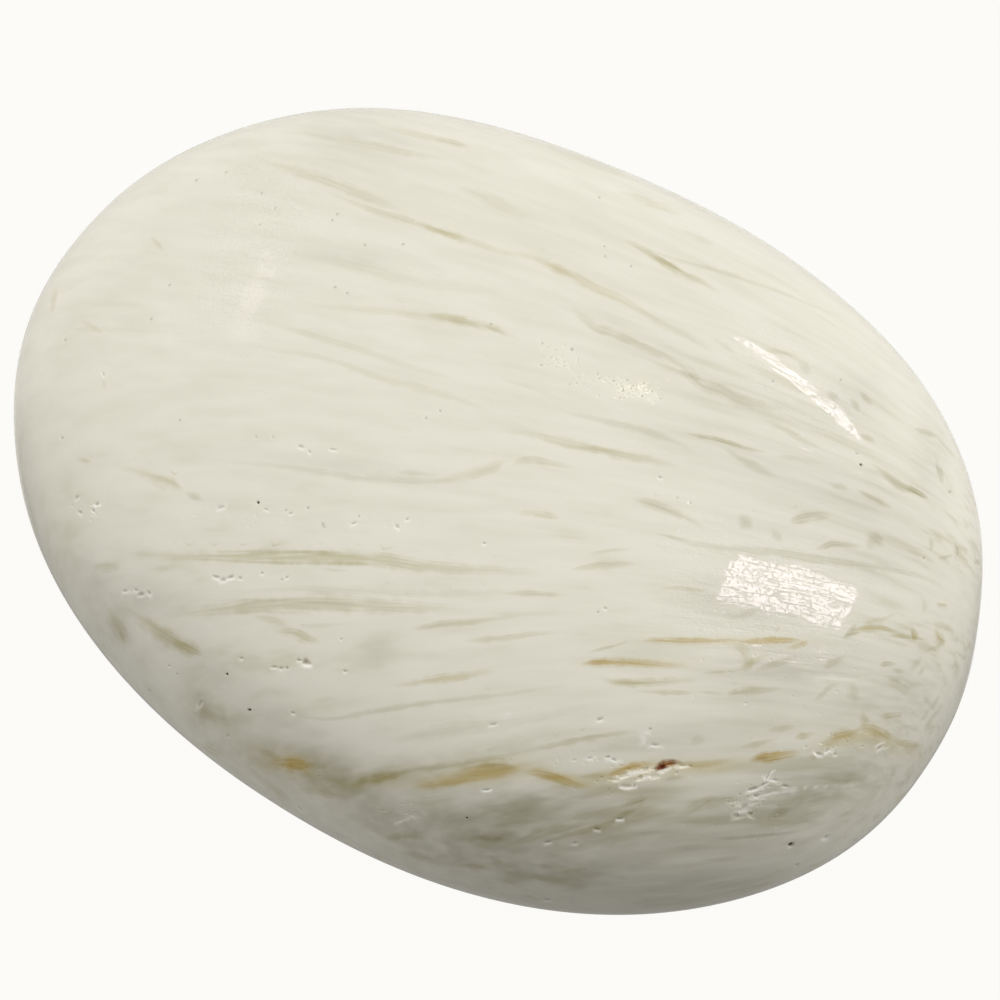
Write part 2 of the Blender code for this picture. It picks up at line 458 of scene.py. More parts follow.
# Splits edges that are longer than the detail near them needs. Each detail is a point, how far its fine mesh
# reaches and how fine that is.
def refine(mesh, places, reaches, cells):
    spread = fineness["spread"] * mm
    bm = bmesh.new()
    bm.from_mesh(mesh)
    bmesh.ops.triangulate(bm, faces=bm.faces[:])
    for _ in range(fineness["rounds"]):
        bm.edges.ensure_lookup_table()
        ends = np.array([(*edge.verts[0].co, *edge.verts[1].co) for edge in bm.edges])
        lengths = np.linalg.norm(ends[:, :3] - ends[:, 3:], axis=1)
        order = np.argsort(ends[:, 0] + ends[:, 3])
        middles = ((ends[:, :3] + ends[:, 3:]) / 2)[order]
        wanted = np.full(len(middles), fineness["coarse"])
        for place, reach, cell in zip(places, reaches, cells):
            limits = (place[0] - reach - spread, place[0] + reach + spread)
            first, last = np.searchsorted(middles[:, 0], limits)
            away = np.linalg.norm(middles[first:last] - place, axis=1)
            allowed = cell + fineness["growth"] * np.maximum(away - reach, 0.0)
            wanted[first:last] = np.minimum(wanted[first:last], allowed)
        split = [bm.edges[i] for i in order[lengths[order] > fineness["longest"] * wanted]]
        if not split:
            break
        bmesh.ops.subdivide_edges(bm, edges=split, cuts=1, use_single_edge=True)
        bmesh.ops.triangulate(bm, faces=[face for face in bm.faces if len(face.verts) > 3])
        print("refining,", len(bm.faces), "triangles")
    bm.to_mesh(mesh)
    bm.free()


# Where the mesh has to be fine: round each hollow, and along each streak
def finePlaces(surface, hollows):
    places = [one["place"] for one in hollows]
    reaches = [one["halfLength"] * fineness["hollowReach"] for one in hollows]
    smallest = fineness["smallestCell"] * mm
    cells = [max(one["halfWidth"] * fineness["hollowCell"], smallest) for one in hollows]
    for course, half, *_ in crispStreaks:
        for pixel in smoothCourse(course, fineness["streakSteps"]):
            point = onStone(surface, pixel)
            if point:
                places.append(point)
                reaches.append((half + fineness["streakMargin"]) * fineness["streakReach"] * mm)
                cells.append(fineness["streakCell"] * mm)
    return places, reaches, cells


# What each hollow tells the pit tree
hollowFields = {
    "along": "FLOAT_VECTOR",
    "halfLength": "FLOAT",
    "halfWidth": "FLOAT",
    "depth": "FLOAT",
    "kind": "FLOAT",
}


# A cloud of points, one for each hollow, that the pit tree reads
def hollowCloud(found):
    cloud = bpy.data.meshes.new("hollows")
    cloud.from_pydata([one["place"] for one in found], [], [])
    for name, kind in hollowFields.items():
        attribute = cloud.attributes.new(name, kind, "POINT")
        field = "vector" if kind == "FLOAT_VECTOR" else "value"
        values = np.array([one[name] for one in found], np.float32)
        attribute.data.foreach_set(field, values.ravel())
    thing = bpy.data.objects.new("hollows", cloud)
    bpy.context.scene.collection.objects.link(thing)
    return thing


# Presses every hollow into the surface, and leaves behind how deep in one each point lies
def pitTree():
    tree = newTree("pittedPolish", {
        "Geometry": "NodeSocketGeometry",
        "Hollows": "NodeSocketObject",
        "Raggedness": "NodeSocketFloat",
        "Ragged Scale": "NodeSocketFloat",
        "Waviness": "NodeSocketFloat",
        "Waviness Scale": "NodeSocketFloat",
        "Material": "NodeSocketMaterial",
    })
    given = addNode(tree, "NodeGroupInput").outputs
    cloud = addNode(tree, "GeometryNodeObjectInfo", {"Object": given["Hollows"]}).outputs["Geometry"]
    position = addNode(tree, "GeometryNodeInputPosition")
    nearest = addNode(tree, "GeometryNodeSampleNearest", {"Geometry": cloud, "Sample Position": position})
    read = {}
    for name, kind in hollowFields.items():
        value = addNode(tree, "GeometryNodeInputNamedAttribute", name, data_type=kind)
        sample = {"Geometry": cloud, "Value": value, "Index": nearest}
        read[name] = addNode(tree, "GeometryNodeSampleIndex", sample, data_type=kind)
    sample = {"Geometry": cloud, "Value": position, "Index": nearest}
    middle = addNode(tree, "GeometryNodeSampleIndex", sample, data_type="FLOAT_VECTOR")
    away = addNode(tree, "ShaderNodeVectorMath", position, middle, operation="SUBTRACT")
    far = addNode(tree, "ShaderNodeVectorMath", away, read["along"], operation="DOT_PRODUCT")
    far = far.outputs["Value"]
    lengthwise = addNode(tree, "ShaderNodeVectorMath", {0: read["along"], "Scale": far}, operation="SCALE")
    sideways = addNode(tree, "ShaderNodeVectorMath", away, lengthwise, operation="SUBTRACT")
    side = addNode(tree, "ShaderNodeVectorMath", sideways, operation="LENGTH").outputs["Value"]
    far = addNode(tree, "ShaderNodeMath", far, read["halfLength"], operation="DIVIDE")
    side = addNode(tree, "ShaderNodeMath", side, read["halfWidth"], operation="DIVIDE")
    both = addNode(tree, "ShaderNodeCombineXYZ", far, side)
    reach = addNode(tree, "ShaderNodeVectorMath", both, operation="LENGTH").outputs["Value"]

    inMm = addNode(tree, "ShaderNodeVectorMath", {0: position, "Scale": 1 / mm}, operation="SCALE")
    noise = {"Vector": inMm, "Scale": given["Ragged Scale"], "Detail": pits["raggedDetail"]}
    ragged = addNode(tree, "ShaderNodeTexNoise", noise)
    ragged = addNode(tree, "ShaderNodeMath", ragged, 0.5, operation="SUBTRACT")
    ragged = addNode(tree, "ShaderNodeMath", ragged, 2.0, operation="MULTIPLY")
    reach = addNode(tree, "ShaderNodeMath", ragged, given["Raggedness"], reach, operation="MULTIPLY_ADD")
    slopeStart, slopeEnd = pits["slope"]
    slope = {"Value": reach, "From Min": slopeStart, "From Max": slopeEnd}
    inside = addNode(tree, "ShaderNodeMapRange", slope, interpolation_type="SMOOTHSTEP")
    dent = addNode(tree, "ShaderNodeMath", inside, read["depth"], operation="MULTIPLY")

    noise = {"Vector": inMm, "Scale": given["Waviness Scale"], "Detail": 1.0}
    wave = addNode(tree, "ShaderNodeTexNoise", noise)
    wave = addNode(tree, "ShaderNodeMath", wave, given["Waviness"], operation="MULTIPLY")
    wave = addNode(tree, "ShaderNodeMath", wave, mm, operation="MULTIPLY")
    dent = addNode(tree, "ShaderNodeMath", dent, wave, operation="ADD")
    dent = addNode(tree, "ShaderNodeMath", dent, -1.0, operation="MULTIPLY")
    normal = addNode(tree, "GeometryNodeInputNormal")
    offset = addNode(tree, "ShaderNodeVectorMath", {0: normal, "Scale": dent}, operation="SCALE")

    # painted dirt and shade: deep in a hole is 1, on a pit's floor less
    floor = addNode(tree, "ShaderNodeMath", inside, read["kind"], operation="MULTIPLY")
    marks = addNode(tree, "ShaderNodeCombineXYZ", inside, floor)
    stored = {"Geometry": given["Geometry"], "Name": "hollow", "Value": marks}
    pointVectors = {"data_type": "FLOAT_VECTOR", "domain": "POINT"}
    named = addNode(tree, "GeometryNodeStoreNamedAttribute", stored, **pointVectors)
    moved = addNode(tree, "GeometryNodeSetPosition", {"Geometry": named, "Offset": offset})
    real = addNode(tree, "GeometryNodeRealizeInstances", moved)
    finished = addNode(tree, "GeometryNodeSetMaterial", {"Geometry": real, "Material": given["Material"]})
    addNode(tree, "NodeGroupOutput", finished)
    return tree


# Streaks where bundles of needles lie clear under the polish. Each is its course in pixels, its half width
# in pixels, its strength, its tint, and where along it the streak is strongest. A tint is a place on the
# tint ramp: 0 grey, 0.25 olive grey, 0.5 tan, 0.75 amber, 1 red brown.
crispStreaks = [
    # upper left
    ([(271, 131), (323, 137), (384, 148), (451, 161)], 4, 0.27, 0.34, 0.7),
    ([(365, 121), (403, 131), (432, 138), (470, 147)], 4, 0.31, 0.39, 0.8),
    ([(432, 138), (450, 142), (470, 147)], 3, 0.27, 0.44, 0.6),
    ([(250, 157), (279, 167), (336, 184), (403, 211)], 6, 0.35, 0.36, 0.5),
    ([(322, 190), (365, 207), (418, 224), (460, 238), (518, 257)], 4, 0.43, 0.46, 0.6),
    ([(418, 224), (440, 231), (465, 240)], 3, 0.35, 0.59, 0.6),
    ([(457, 186), (480, 196), (508, 209), (540, 221)], 6, 0.27, 0.29, 0.4),
    ([(294, 300), (327, 307), (383, 311), (424, 316), (480, 325), (519, 338)], 5, 0.31, 0.44, 0.75),
    ([(425, 315), (456, 319), (482, 327)], 4, 0.47, 0.50, 0.5),
    ([(482, 325), (494, 329), (508, 336)], 3, 0.43, 0.42, 0.5),
    ([(258, 321), (298, 331), (336, 343), (374, 354), (413, 368), (460, 380)], 4, 0.23, 0.29, 0.4),
    ([(261, 349), (319, 357), (384, 379), (446, 395), (497, 415)], 4, 0.27, 0.32, 0.6),
    ([(279, 251), (327, 259), (388, 276), (441, 287), (508, 291)], 6, 0.17, 0.26, 0.5),
    ([(150, 236), (157, 244), (164, 252)], 3, 0.27, 0.29, 0.5),
    # left rim and left end
    ([(64, 328), (120, 330), (172, 333)], 3, 0.14, 0.44, 0.3),
    ([(80, 303), (120, 304), (160, 306)], 3, 0.12, 0.44, 0.3),
    ([(57, 287), (54, 300), (51, 315)], 3, 0.35, 0.60, 0.5),
    ([(80, 320), (92, 326), (104, 335)], 3, 0.23, 0.54, 0.5),
    ([(77, 459), (84, 461), (92, 462)], 3, 0.40, 0.50, 0.5),
    ([(116, 467), (140, 472), (160, 480), (182, 488)], 6, 0.36, 0.46, 0.8),
    ([(148, 475), (162, 478), (176, 485), (184, 492)], 4, 0.30, 0.52, 0.6),
    ([(185, 493), (193, 496), (203, 500)], 4, 0.45, 0.15, 0.5),
    ([(100, 376), (103, 382), (106, 392)], 2, 0.20, 0.60, 0.5),
    # the two long bands at the left and what lies between
    ([(120, 552), (160, 556), (233, 557), (320, 557), (383, 560), (430, 567), (500, 570), (548, 571)],
     7, 0.62, 0.40, 0.45),
    ([(200, 553), (270, 551), (335, 554), (380, 556)], 2, 0.30, 0.35, 0.5),
    ([(236, 562), (300, 563), (350, 564), (392, 566)], 2, 0.55, 0.38, 0.6),
    ([(320, 569), (335, 570), (350, 571)], 1.6, 0.30, 0.15, 0.5),
    ([(160, 616), (215, 611), (262, 605), (330, 605), (400, 607), (480, 611)], 8, 0.55, 0.34, 0.45),
    ([(200, 600), (250, 600), (310, 602), (370, 606)], 2, 0.20, 0.20, 0.5),
    ([(220, 593), (300, 589), (360, 591), (430, 594), (510, 592), (573, 594)], 4, 0.24, 0.18, 0.4),
    ([(92, 568), (108, 566), (122, 569)], 6, 0.40, 0.22, 0.5),
    ([(148, 571), (160, 569), (172, 570)], 3, 0.25, 0.25, 0.5),
    ([(126, 608), (145, 622), (168, 637), (185, 646), (203, 655)], 8, 0.72, 0.38, 0.7),
    ([(170, 640), (186, 646), (203, 656)], 4, 0.40, 0.50, 0.6),
    ([(106, 606), (114, 620), (122, 634), (127, 645)], 7, 0.45, 0.30, 0.6),
    ([(119, 630), (122, 636), (124, 642)], 3, 0.45, 0.52, 0.5),
    ([(252, 616), (275, 621), (290, 628)], 4, 0.35, 0.34, 0.6),
    ([(274, 632), (292, 632), (305, 637), (320, 643)], 5, 0.62, 0.44, 0.6),
    ([(296, 627), (330, 625), (360, 622)], 2.5, 0.20, 0.15, 0.2),
    ([(410, 629), (428, 627), (446, 624), (486, 620), (520, 616)], 3.5, 0.55, 0.30, 0.3),
    ([(464, 641), (490, 639), (510, 637), (532, 634), (560, 632)], 3.5, 0.50, 0.32, 0.35),
    ([(392, 686), (420, 682), (440, 679), (460, 676), (497, 671)], 4.5, 0.52, 0.56, 0.5),
    ([(285, 715), (330, 719), (372, 712), (400, 707), (450, 700), (500, 695), (540, 689), (575, 684)],
     3, 0.42, 0.18, 0.35),
    ([(390, 741), (420, 735), (455, 729), (500, 724), (550, 716), (600, 702)], 6, 0.26, 0.10, 0.2),
    # middle
    ([(225, 461), (287, 467), (351, 477), (395, 481), (430, 481), (470, 482)], 4, 0.34, 0.15, 0.6),
    ([(395, 472), (415, 473), (440, 476)], 2.5, 0.28, 0.22, 0.4),
    ([(430, 483), (460, 477), (485, 470), (506, 461)], 5, 0.35, 0.52, 0.85),
    ([(512, 465), (522, 460), (535, 459), (552, 463), (575, 468)], 4, 0.40, 0.36, 0.35),
    ([(516, 512), (535, 513), (560, 518)], 4, 0.48, 0.48, 0.6),
    ([(500, 430), (540, 436), (568, 444), (600, 450), (640, 458), (680, 467)], 5, 0.52, 0.34, 0.65),
    ([(575, 446), (600, 450), (622, 455)], 2.5, 0.30, 0.34, 0.5),
    ([(560, 411), (600, 420), (640, 429), (670, 440), (697, 453)], 4, 0.38, 0.15, 0.6),
    ([(500, 378), (538, 390), (563, 399)], 3, 0.17, 0.39, 0.4),
    ([(500, 252), (529, 256), (559, 269), (586, 283), (615, 296), (638, 309), (665, 324)],
     5, 0.37, 0.56, 0.45),
    ([(545, 262), (560, 269), (574, 277)], 3.5, 0.35, 0.60, 0.5),
    ([(571, 306), (592, 325), (607, 332), (634, 342), (663, 355), (682, 367)], 5, 0.50, 0.24, 0.5),
    ([(660, 352), (682, 366), (700, 384), (721, 391), (747, 403), (794, 411)], 6, 0.46, 0.20, 0.5),
    ([(634, 306), (655, 319), (679, 332), (717, 354)], 4, 0.28, 0.15, 0.5),
    ([(642, 357), (672, 369), (703, 380), (726, 386)], 3, 0.40, 0.30, 0.6),
    ([(711, 338), (722, 344), (735, 353)], 3, 0.30, 0.20, 0.5),
    ([(686, 433), (704, 437), (722, 441), (745, 448), (768, 453)], 3, 0.80, 0.30, 0.35),
    ([(721, 447), (738, 457), (757, 467), (780, 479)], 4, 0.44, 0.16, 0.5),
    ([(632, 499), (650, 504), (668, 510), (685, 517), (706, 529)], 4.5, 0.58, 0.20, 0.3),
    ([(640, 530), (665, 535), (700, 545), (745, 550), (787, 554), (830, 561), (880, 568), (920, 577),
      (946, 587)], 4.5, 0.50, 0.14, 0.55),
    ([(655, 534), (672, 537), (690, 542)], 2, 0.35, 0.22, 0.5),
    ([(586, 555), (605, 551), (632, 549)], 2.5, 0.34, 0.22, 0.5),
    ([(568, 571), (585, 567), (602, 565), (637, 564)], 4, 0.46, 0.36, 0.45),
    ([(500, 594), (530, 593), (562, 596)], 3, 0.42, 0.36, 0.6),
    ([(660, 588), (680, 588), (693, 590), (710, 591)], 2.5, 0.42, 0.44, 0.5),
    # upper right
    ([(519, 138), (557, 151), (586, 162), (615, 172), (643, 183)], 4, 0.23, 0.36, 0.6),
    ([(617, 191), (638, 198), (659, 206), (684, 216)], 4, 0.35, 0.26, 0.5),
    ([(678, 229), (697, 237), (716, 246)], 3, 0.28, 0.22, 0.5),
    ([(617, 238), (634, 244), (663, 262), (682, 273), (703, 283), (722, 294)], 4, 0.60, 0.38, 0.55),
    ([(645, 250), (663, 261), (685, 273)], 2.5, 0.45, 0.46, 0.5),
    ([(634, 246), (672, 258), (710, 269), (749, 281), (787, 295), (819, 309), (853, 321)],
     2.5, 0.34, 0.22, 0.4),
    ([(758, 417), (782, 428), (802, 440), (825, 450)], 3, 0.40, 0.18, 0.5),
    ([(774, 457), (798, 459), (825, 465)], 3, 0.30, 0.18, 0.5),
    ([(758, 349), (778, 352), (800, 357)], 3, 0.36, 0.46, 0.5),
    # short dashes where the needles are cut across
    ([(797, 362), (804, 368), (812, 374)], 4, 0.40, 0.12, 0.5),
    ([(826, 390), (833, 396), (840, 402)], 4, 0.40, 0.12, 0.5),
    ([(850, 398), (855, 405), (861, 412)], 3, 0.59, 0.12, 0.5),
    ([(859, 391), (866, 398), (874, 406)], 3, 0.59, 0.12, 0.5),
    ([(859, 433), (868, 438), (877, 444)], 3, 0.59, 0.16, 0.5),
    ([(914, 428), (925, 432), (938, 438)], 3, 0.64, 0.12, 0.5),
    ([(870, 463), (885, 473), (898, 484), (912, 490), (928, 499)], 4, 0.75, 0.20, 0.7),
    ([(905, 487), (916, 492), (928, 499)], 3, 0.70, 0.20, 0.6),
    ([(935, 457), (939, 470), (943, 486)], 3, 0.59, 0.14, 0.5),
    ([(828, 483), (838, 486), (850, 490)], 3, 0.42, 0.16, 0.5),
    ([(856, 489), (866, 495), (878, 501), (893, 509)], 3.5, 0.70, 0.18, 0.5),
    ([(789, 523), (800, 519), (815, 516), (834, 515)], 6, 0.62, 0.22, 0.3),
    ([(739, 514), (745, 521), (752, 530)], 6, 0.50, 0.16, 0.5),
    ([(771, 530), (776, 536), (783, 542)], 5, 0.45, 0.18, 0.5),
    ([(814, 549), (826, 546), (836, 544), (862, 547)], 3.5, 0.66, 0.20, 0.35),
    ([(866, 534), (875, 539), (884, 547)], 8, 0.59, 0.18, 0.5),
    ([(929, 536), (932, 544), (930, 552)], 3, 0.48, 0.14, 0.5),
    ([(938, 558), (946, 557), (954, 555)], 2.5, 0.59, 0.18, 0.5),
    ([(953, 540), (957, 549), (956, 559)], 3, 0.53, 0.14, 0.5),
    ([(974, 560), (978, 562), (981, 566)], 4, 0.75, 0.16, 0.5),
    ([(936, 603), (942, 605), (949, 606)], 2.5, 0.64, 0.34, 0.5),
    ([(970, 536), (974, 546), (978, 558)], 3, 0.42, 0.14, 0.5),
    ([(921, 598), (925, 606), (922, 615)], 3, 0.31, 0.14, 0.5),
    # under the bright patch
    ([(842, 640), (850, 632), (857, 622)], 3, 0.49, 0.16, 0.5),
    ([(862, 622), (880, 620), (898, 613)], 3, 0.42, 0.34, 0.3),
    ([(722, 613), (737, 617), (752, 612), (768, 609)], 3.5, 0.34, 0.12, 0.4),
    ([(822, 669), (833, 663), (846, 656)], 4, 0.48, 0.18, 0.4),
    ([(879, 666), (888, 664), (897, 664)], 3, 0.60, 0.20, 0.3),
    ([(891, 669), (898, 671), (905, 673)], 2.5, 0.40, 0.18, 0.5),
    ([(910, 672), (917, 663), (922, 655)], 3.5, 0.36, 0.16, 0.5),
    ([(916, 678), (921, 672), (925, 666)], 2.5, 0.34, 0.40, 0.5),
    ([(884, 683), (892, 684), (901, 688), (911, 697)], 6, 0.52, 0.16, 0.4),
    ([(850, 682), (854, 692), (856, 706)], 6, 0.34, 0.14, 0.5),
    ([(812, 702), (822, 694), (832, 686), (842, 684)], 3, 0.40, 0.18, 0.4),
    ([(879, 717), (890, 716), (904, 714)], 4, 0.58, 0.42, 0.5),
    ([(929, 711), (935, 703), (940, 694)], 3, 0.42, 0.14, 0.5),
    ([(924, 736), (929, 723), (938, 711), (943, 703)], 3, 0.42, 0.14, 0.5),
    ([(920, 722), (926, 715), (929, 707)], 2.5, 0.34, 0.12, 0.5),
    ([(955, 655), (957, 668), (953, 684)], 3, 0.34, 0.14, 0.5),
    ([(943, 673), (945, 681), (941, 690)], 3, 0.26, 0.14, 0.5),
    ([(961, 676), (962, 690), (955, 704)], 3, 0.24, 0.14, 0.5),
    ([(766, 731), (780, 729), (796, 726)], 3.5, 0.48, 0.28, 0.4),
    ([(738, 748), (752, 746), (766, 742), (780, 738)], 3, 0.50, 0.46, 0.4),
    ([(794, 738), (803, 736), (816, 733)], 3.5, 0.62, 0.56, 0.4),
    ([(690, 745), (697, 741), (706, 738)], 5, 0.30, 0.16, 0.5),
    # the amber needles
    ([(641, 641), (656, 640), (680, 641), (705, 641), (737, 641)], 3.5, 0.80, 0.64, 0.3),
    ([(738, 642), (757, 641), (780, 640), (803, 641)], 3.5, 0.90, 0.68, 0.6),
    ([(786, 648), (797, 646), (809, 642)], 3, 0.72, 0.66, 0.7),
    ([(733, 645), (742, 651), (748, 662), (746, 673)], 6, 0.42, 0.54, 0.4),
    ([(735, 671), (745, 667), (757, 660), (770, 654)], 3.5, 0.46, 0.48, 0.5),
    ([(752, 672), (766, 667), (782, 662), (800, 656)], 3.5, 0.46, 0.28, 0.5),
    ([(701, 673), (722, 672), (740, 671)], 2, 0.40, 0.36, 0.5),
    ([(580, 664), (590, 663), (605, 662), (628, 663), (655, 665), (692, 667)], 4.5, 0.80, 0.66, 0.18),
    ([(584, 664), (600, 662), (622, 663)], 2.5, 0.50, 0.72, 0.4),
    ([(586, 653), (600, 649), (618, 645), (630, 640)], 2, 0.50, 0.28, 0.5),
    ([(600, 679), (618, 682), (640, 683), (670, 681), (700, 680)], 4.5, 0.56, 0.46, 0.35),
    ([(608, 682), (625, 683), (650, 683)], 2.5, 0.35, 0.50, 0.4),
    ([(634, 691), (655, 692), (675, 693), (698, 693)], 3, 0.52, 0.42, 0.6),
    ([(696, 692), (712, 693), (727, 694)], 2, 0.30, 0.18, 0.5),
    ([(726, 694), (735, 693), (750, 691), (768, 690), (782, 688)], 4, 0.76, 0.27, 0.25),
    ([(842, 637), (852, 634), (862, 632)], 2.5, 0.75, 0.30, 0.5),
    ([(848, 631), (867, 628), (885, 629), (900, 634)], 3.5, 0.73, 0.54, 0.4),
    ([(888, 636), (900, 636), (915, 638), (930, 640)], 2.5, 0.56, 0.56, 0.4),
    ([(912, 627), (914, 635), (914, 642)], 4, 0.73, 0.54, 0.5),
    ([(935, 628), (938, 637), (945, 645)], 4, 0.75, 0.60, 0.6),
    ([(926, 650), (935, 648), (944, 643)], 2.5, 0.42, 0.42, 0.5),
    # the lower amber vein, from the left
    ([(270, 762), (284, 764), (297, 765), (312, 766)], 7, 0.74, 0.66, 0.55),
    ([(257, 750), (268, 754), (281, 759)], 5, 0.50, 0.46, 0.5),
    ([(305, 764), (318, 766), (330, 768)], 4, 0.45, 0.36, 0.4),
    ([(296, 789), (315, 791), (335, 795), (352, 798)], 5, 0.40, 0.44, 0.6),
    ([(350, 786), (366, 781), (380, 778), (396, 774), (412, 770)], 5, 0.66, 0.40, 0.45),
    ([(385, 776), (410, 770), (440, 767), (470, 762), (500, 757), (530, 751)], 3.5, 0.55, 0.32, 0.5),
    ([(515, 753), (545, 747), (572, 741), (600, 736), (640, 731)], 3.5, 0.55, 0.24, 0.6),
    ([(412, 787), (432, 786), (452, 783), (470, 780)], 4, 0.60, 0.60, 0.4),
    ([(440, 782), (465, 775), (490, 770), (505, 769), (521, 769)], 8, 0.60, 0.63, 0.7),
    ([(455, 770), (480, 766), (500, 766), (520, 768)], 2.5, 0.40, 0.48, 0.6),
    ([(524, 772), (540, 774), (556, 778), (570, 783), (590, 788)], 5, 0.66, 0.58, 0.4),
    ([(533, 772), (550, 775), (566, 779)], 2.5, 0.30, 0.68, 0.5),
    ([(580, 777), (596, 776), (610, 775)], 3.5, 0.34, 0.52, 0.5),
    ([(606, 777), (614, 773), (624, 769), (640, 765), (656, 763)], 3.5, 0.85, 0.74, 0.45),
    ([(654, 767), (662, 765), (670, 763), (682, 762)], 4.0, 0.85, 0.93, 0.5),
    ([(654, 770), (660, 768), (668, 767)], 2.4, 0.95, 1.00, 0.6),
    ([(676, 763), (690, 765), (710, 764), (733, 760)], 4, 0.46, 0.56, 0.3),
    ([(664, 781), (672, 778), (684, 777)], 3.5, 0.48, 0.46, 0.5),
    ([(748, 761), (758, 759), (772, 757), (790, 754), (803, 753)], 5.5, 0.98, 0.71, 0.35),
    ([(752, 760), (760, 759), (770, 757)], 2.5, 0.60, 0.80, 0.4),
    ([(808, 757), (814, 757), (820, 757)], 3, 0.55, 0.64, 0.5),
    ([(828, 738), (840, 736), (852, 733), (862, 727)], 5, 0.80, 0.62, 0.3),
    ([(863, 711), (864, 718), (868, 726)], 5, 0.58, 0.50, 0.7),
    ([(858, 730), (868, 728), (880, 732), (893, 740)], 6, 0.72, 0.58, 0.45),
    ([(818, 750), (828, 744), (840, 741)], 5, 0.40, 0.56, 0.5),
    ([(893, 741), (905, 744), (925, 745)], 4, 0.42, 0.56, 0.4),
    # the shaded lower side
    ([(545, 841), (580, 832), (612, 822), (645, 803)], 4, 0.60, 0.40, 0.6),
    ([(676, 817), (695, 808), (717, 795)], 6, 0.42, 0.25, 0.5),
    ([(767, 817), (788, 806), (808, 795)], 6, 0.36, 0.20, 0.5),
    ([(795, 822), (812, 816), (831, 808)], 5, 0.32, 0.20, 0.5),
    ([(486, 838), (502, 837), (520, 836)], 4, 0.40, 0.30, 0.5),
    ([(384, 838), (402, 836), (420, 837)], 4, 0.36, 0.20, 0.5),
    ([(457, 864), (482, 865), (510, 866)], 4, 0.42, 0.20, 0.5),
    ([(534, 867), (550, 866), (566, 868)], 3, 0.40, 0.15, 0.5),
    ([(432, 857), (444, 856), (456, 857)], 3, 0.30, 0.10, 0.5),
    ([(505, 848), (530, 838), (560, 829), (590, 822)], 5, 0.45, 0.30, 0.5),
    ([(440, 822), (480, 812), (520, 806), (560, 797)], 6, 0.30, 0.15, 0.5),
    ([(520, 862), (570, 850), (620, 838), (670, 828)], 5, 0.30, 0.22, 0.5),
    ([(590, 838), (620, 826), (650, 816), (684, 808)], 5, 0.36, 0.30, 0.5),
    ([(690, 812), (715, 804), (738, 796)], 6, 0.34, 0.20, 0.5),
    ([(640, 856), (690, 848), (740, 846), (790, 838)], 4, 0.28, 0.15, 0.5),
    ([(400, 800), (420, 803), (440, 801), (462, 796)], 5, 0.34, 0.34, 0.5),
    ([(340, 812), (370, 826), (400, 840), (440, 852)], 5, 0.28, 0.12, 0.5),
    ([(820, 792), (840, 784), (858, 774), (872, 762)], 6, 0.30, 0.20, 0.5),
    ([(795, 806), (812, 800), (828, 794)], 7, 0.34, 0.24, 0.5),
    ([(846, 812), (866, 800), (884, 784)], 6, 0.24, 0.14, 0.5),
    ([(618, 808), (630, 804), (640, 801), (649, 797)], 4, 0.66, 0.36, 0.7),
    ([(560, 823), (580, 817), (600, 812), (622, 806)], 4, 0.40, 0.30, 0.6),
    ([(765, 820), (778, 814), (793, 806)], 4, 0.40, 0.26, 0.5),
    ([(704, 838), (730, 838), (757, 836), (787, 833), (815, 828)], 1.8, 0.55, 0.15, 0.5),
    ([(700, 860), (722, 860), (745, 857)], 2.5, 0.36, 0.15, 0.5),
    ([(476, 836), (490, 839), (505, 838)], 4, 0.52, 0.36, 0.5),
    ([(455, 839), (472, 838), (488, 837)], 3, 0.30, 0.15, 0.5),
    ([(383, 837), (403, 836), (425, 838)], 4, 0.42, 0.30, 0.6),
    ([(398, 851), (422, 857), (446, 863), (478, 866)], 4, 0.50, 0.15, 0.4),
    ([(462, 864), (474, 867), (488, 868)], 3, 0.42, 0.60, 0.5),
    ([(478, 868), (520, 874), (560, 880), (590, 880)], 3, 0.26, 0.12, 0.4),
    ([(200, 742), (212, 750), (225, 756)], 5, 0.40, 0.34, 0.5),
    ([(255, 775), (275, 790), (296, 806)], 4, 0.30, 0.26, 0.5),
    ([(640, 870), (680, 866), (720, 862)], 3, 0.20, 0.12, 0.5),
    ([(690, 893), (740, 884), (790, 869), (830, 850)], 3, 0.24, 0.10, 0.5),
]
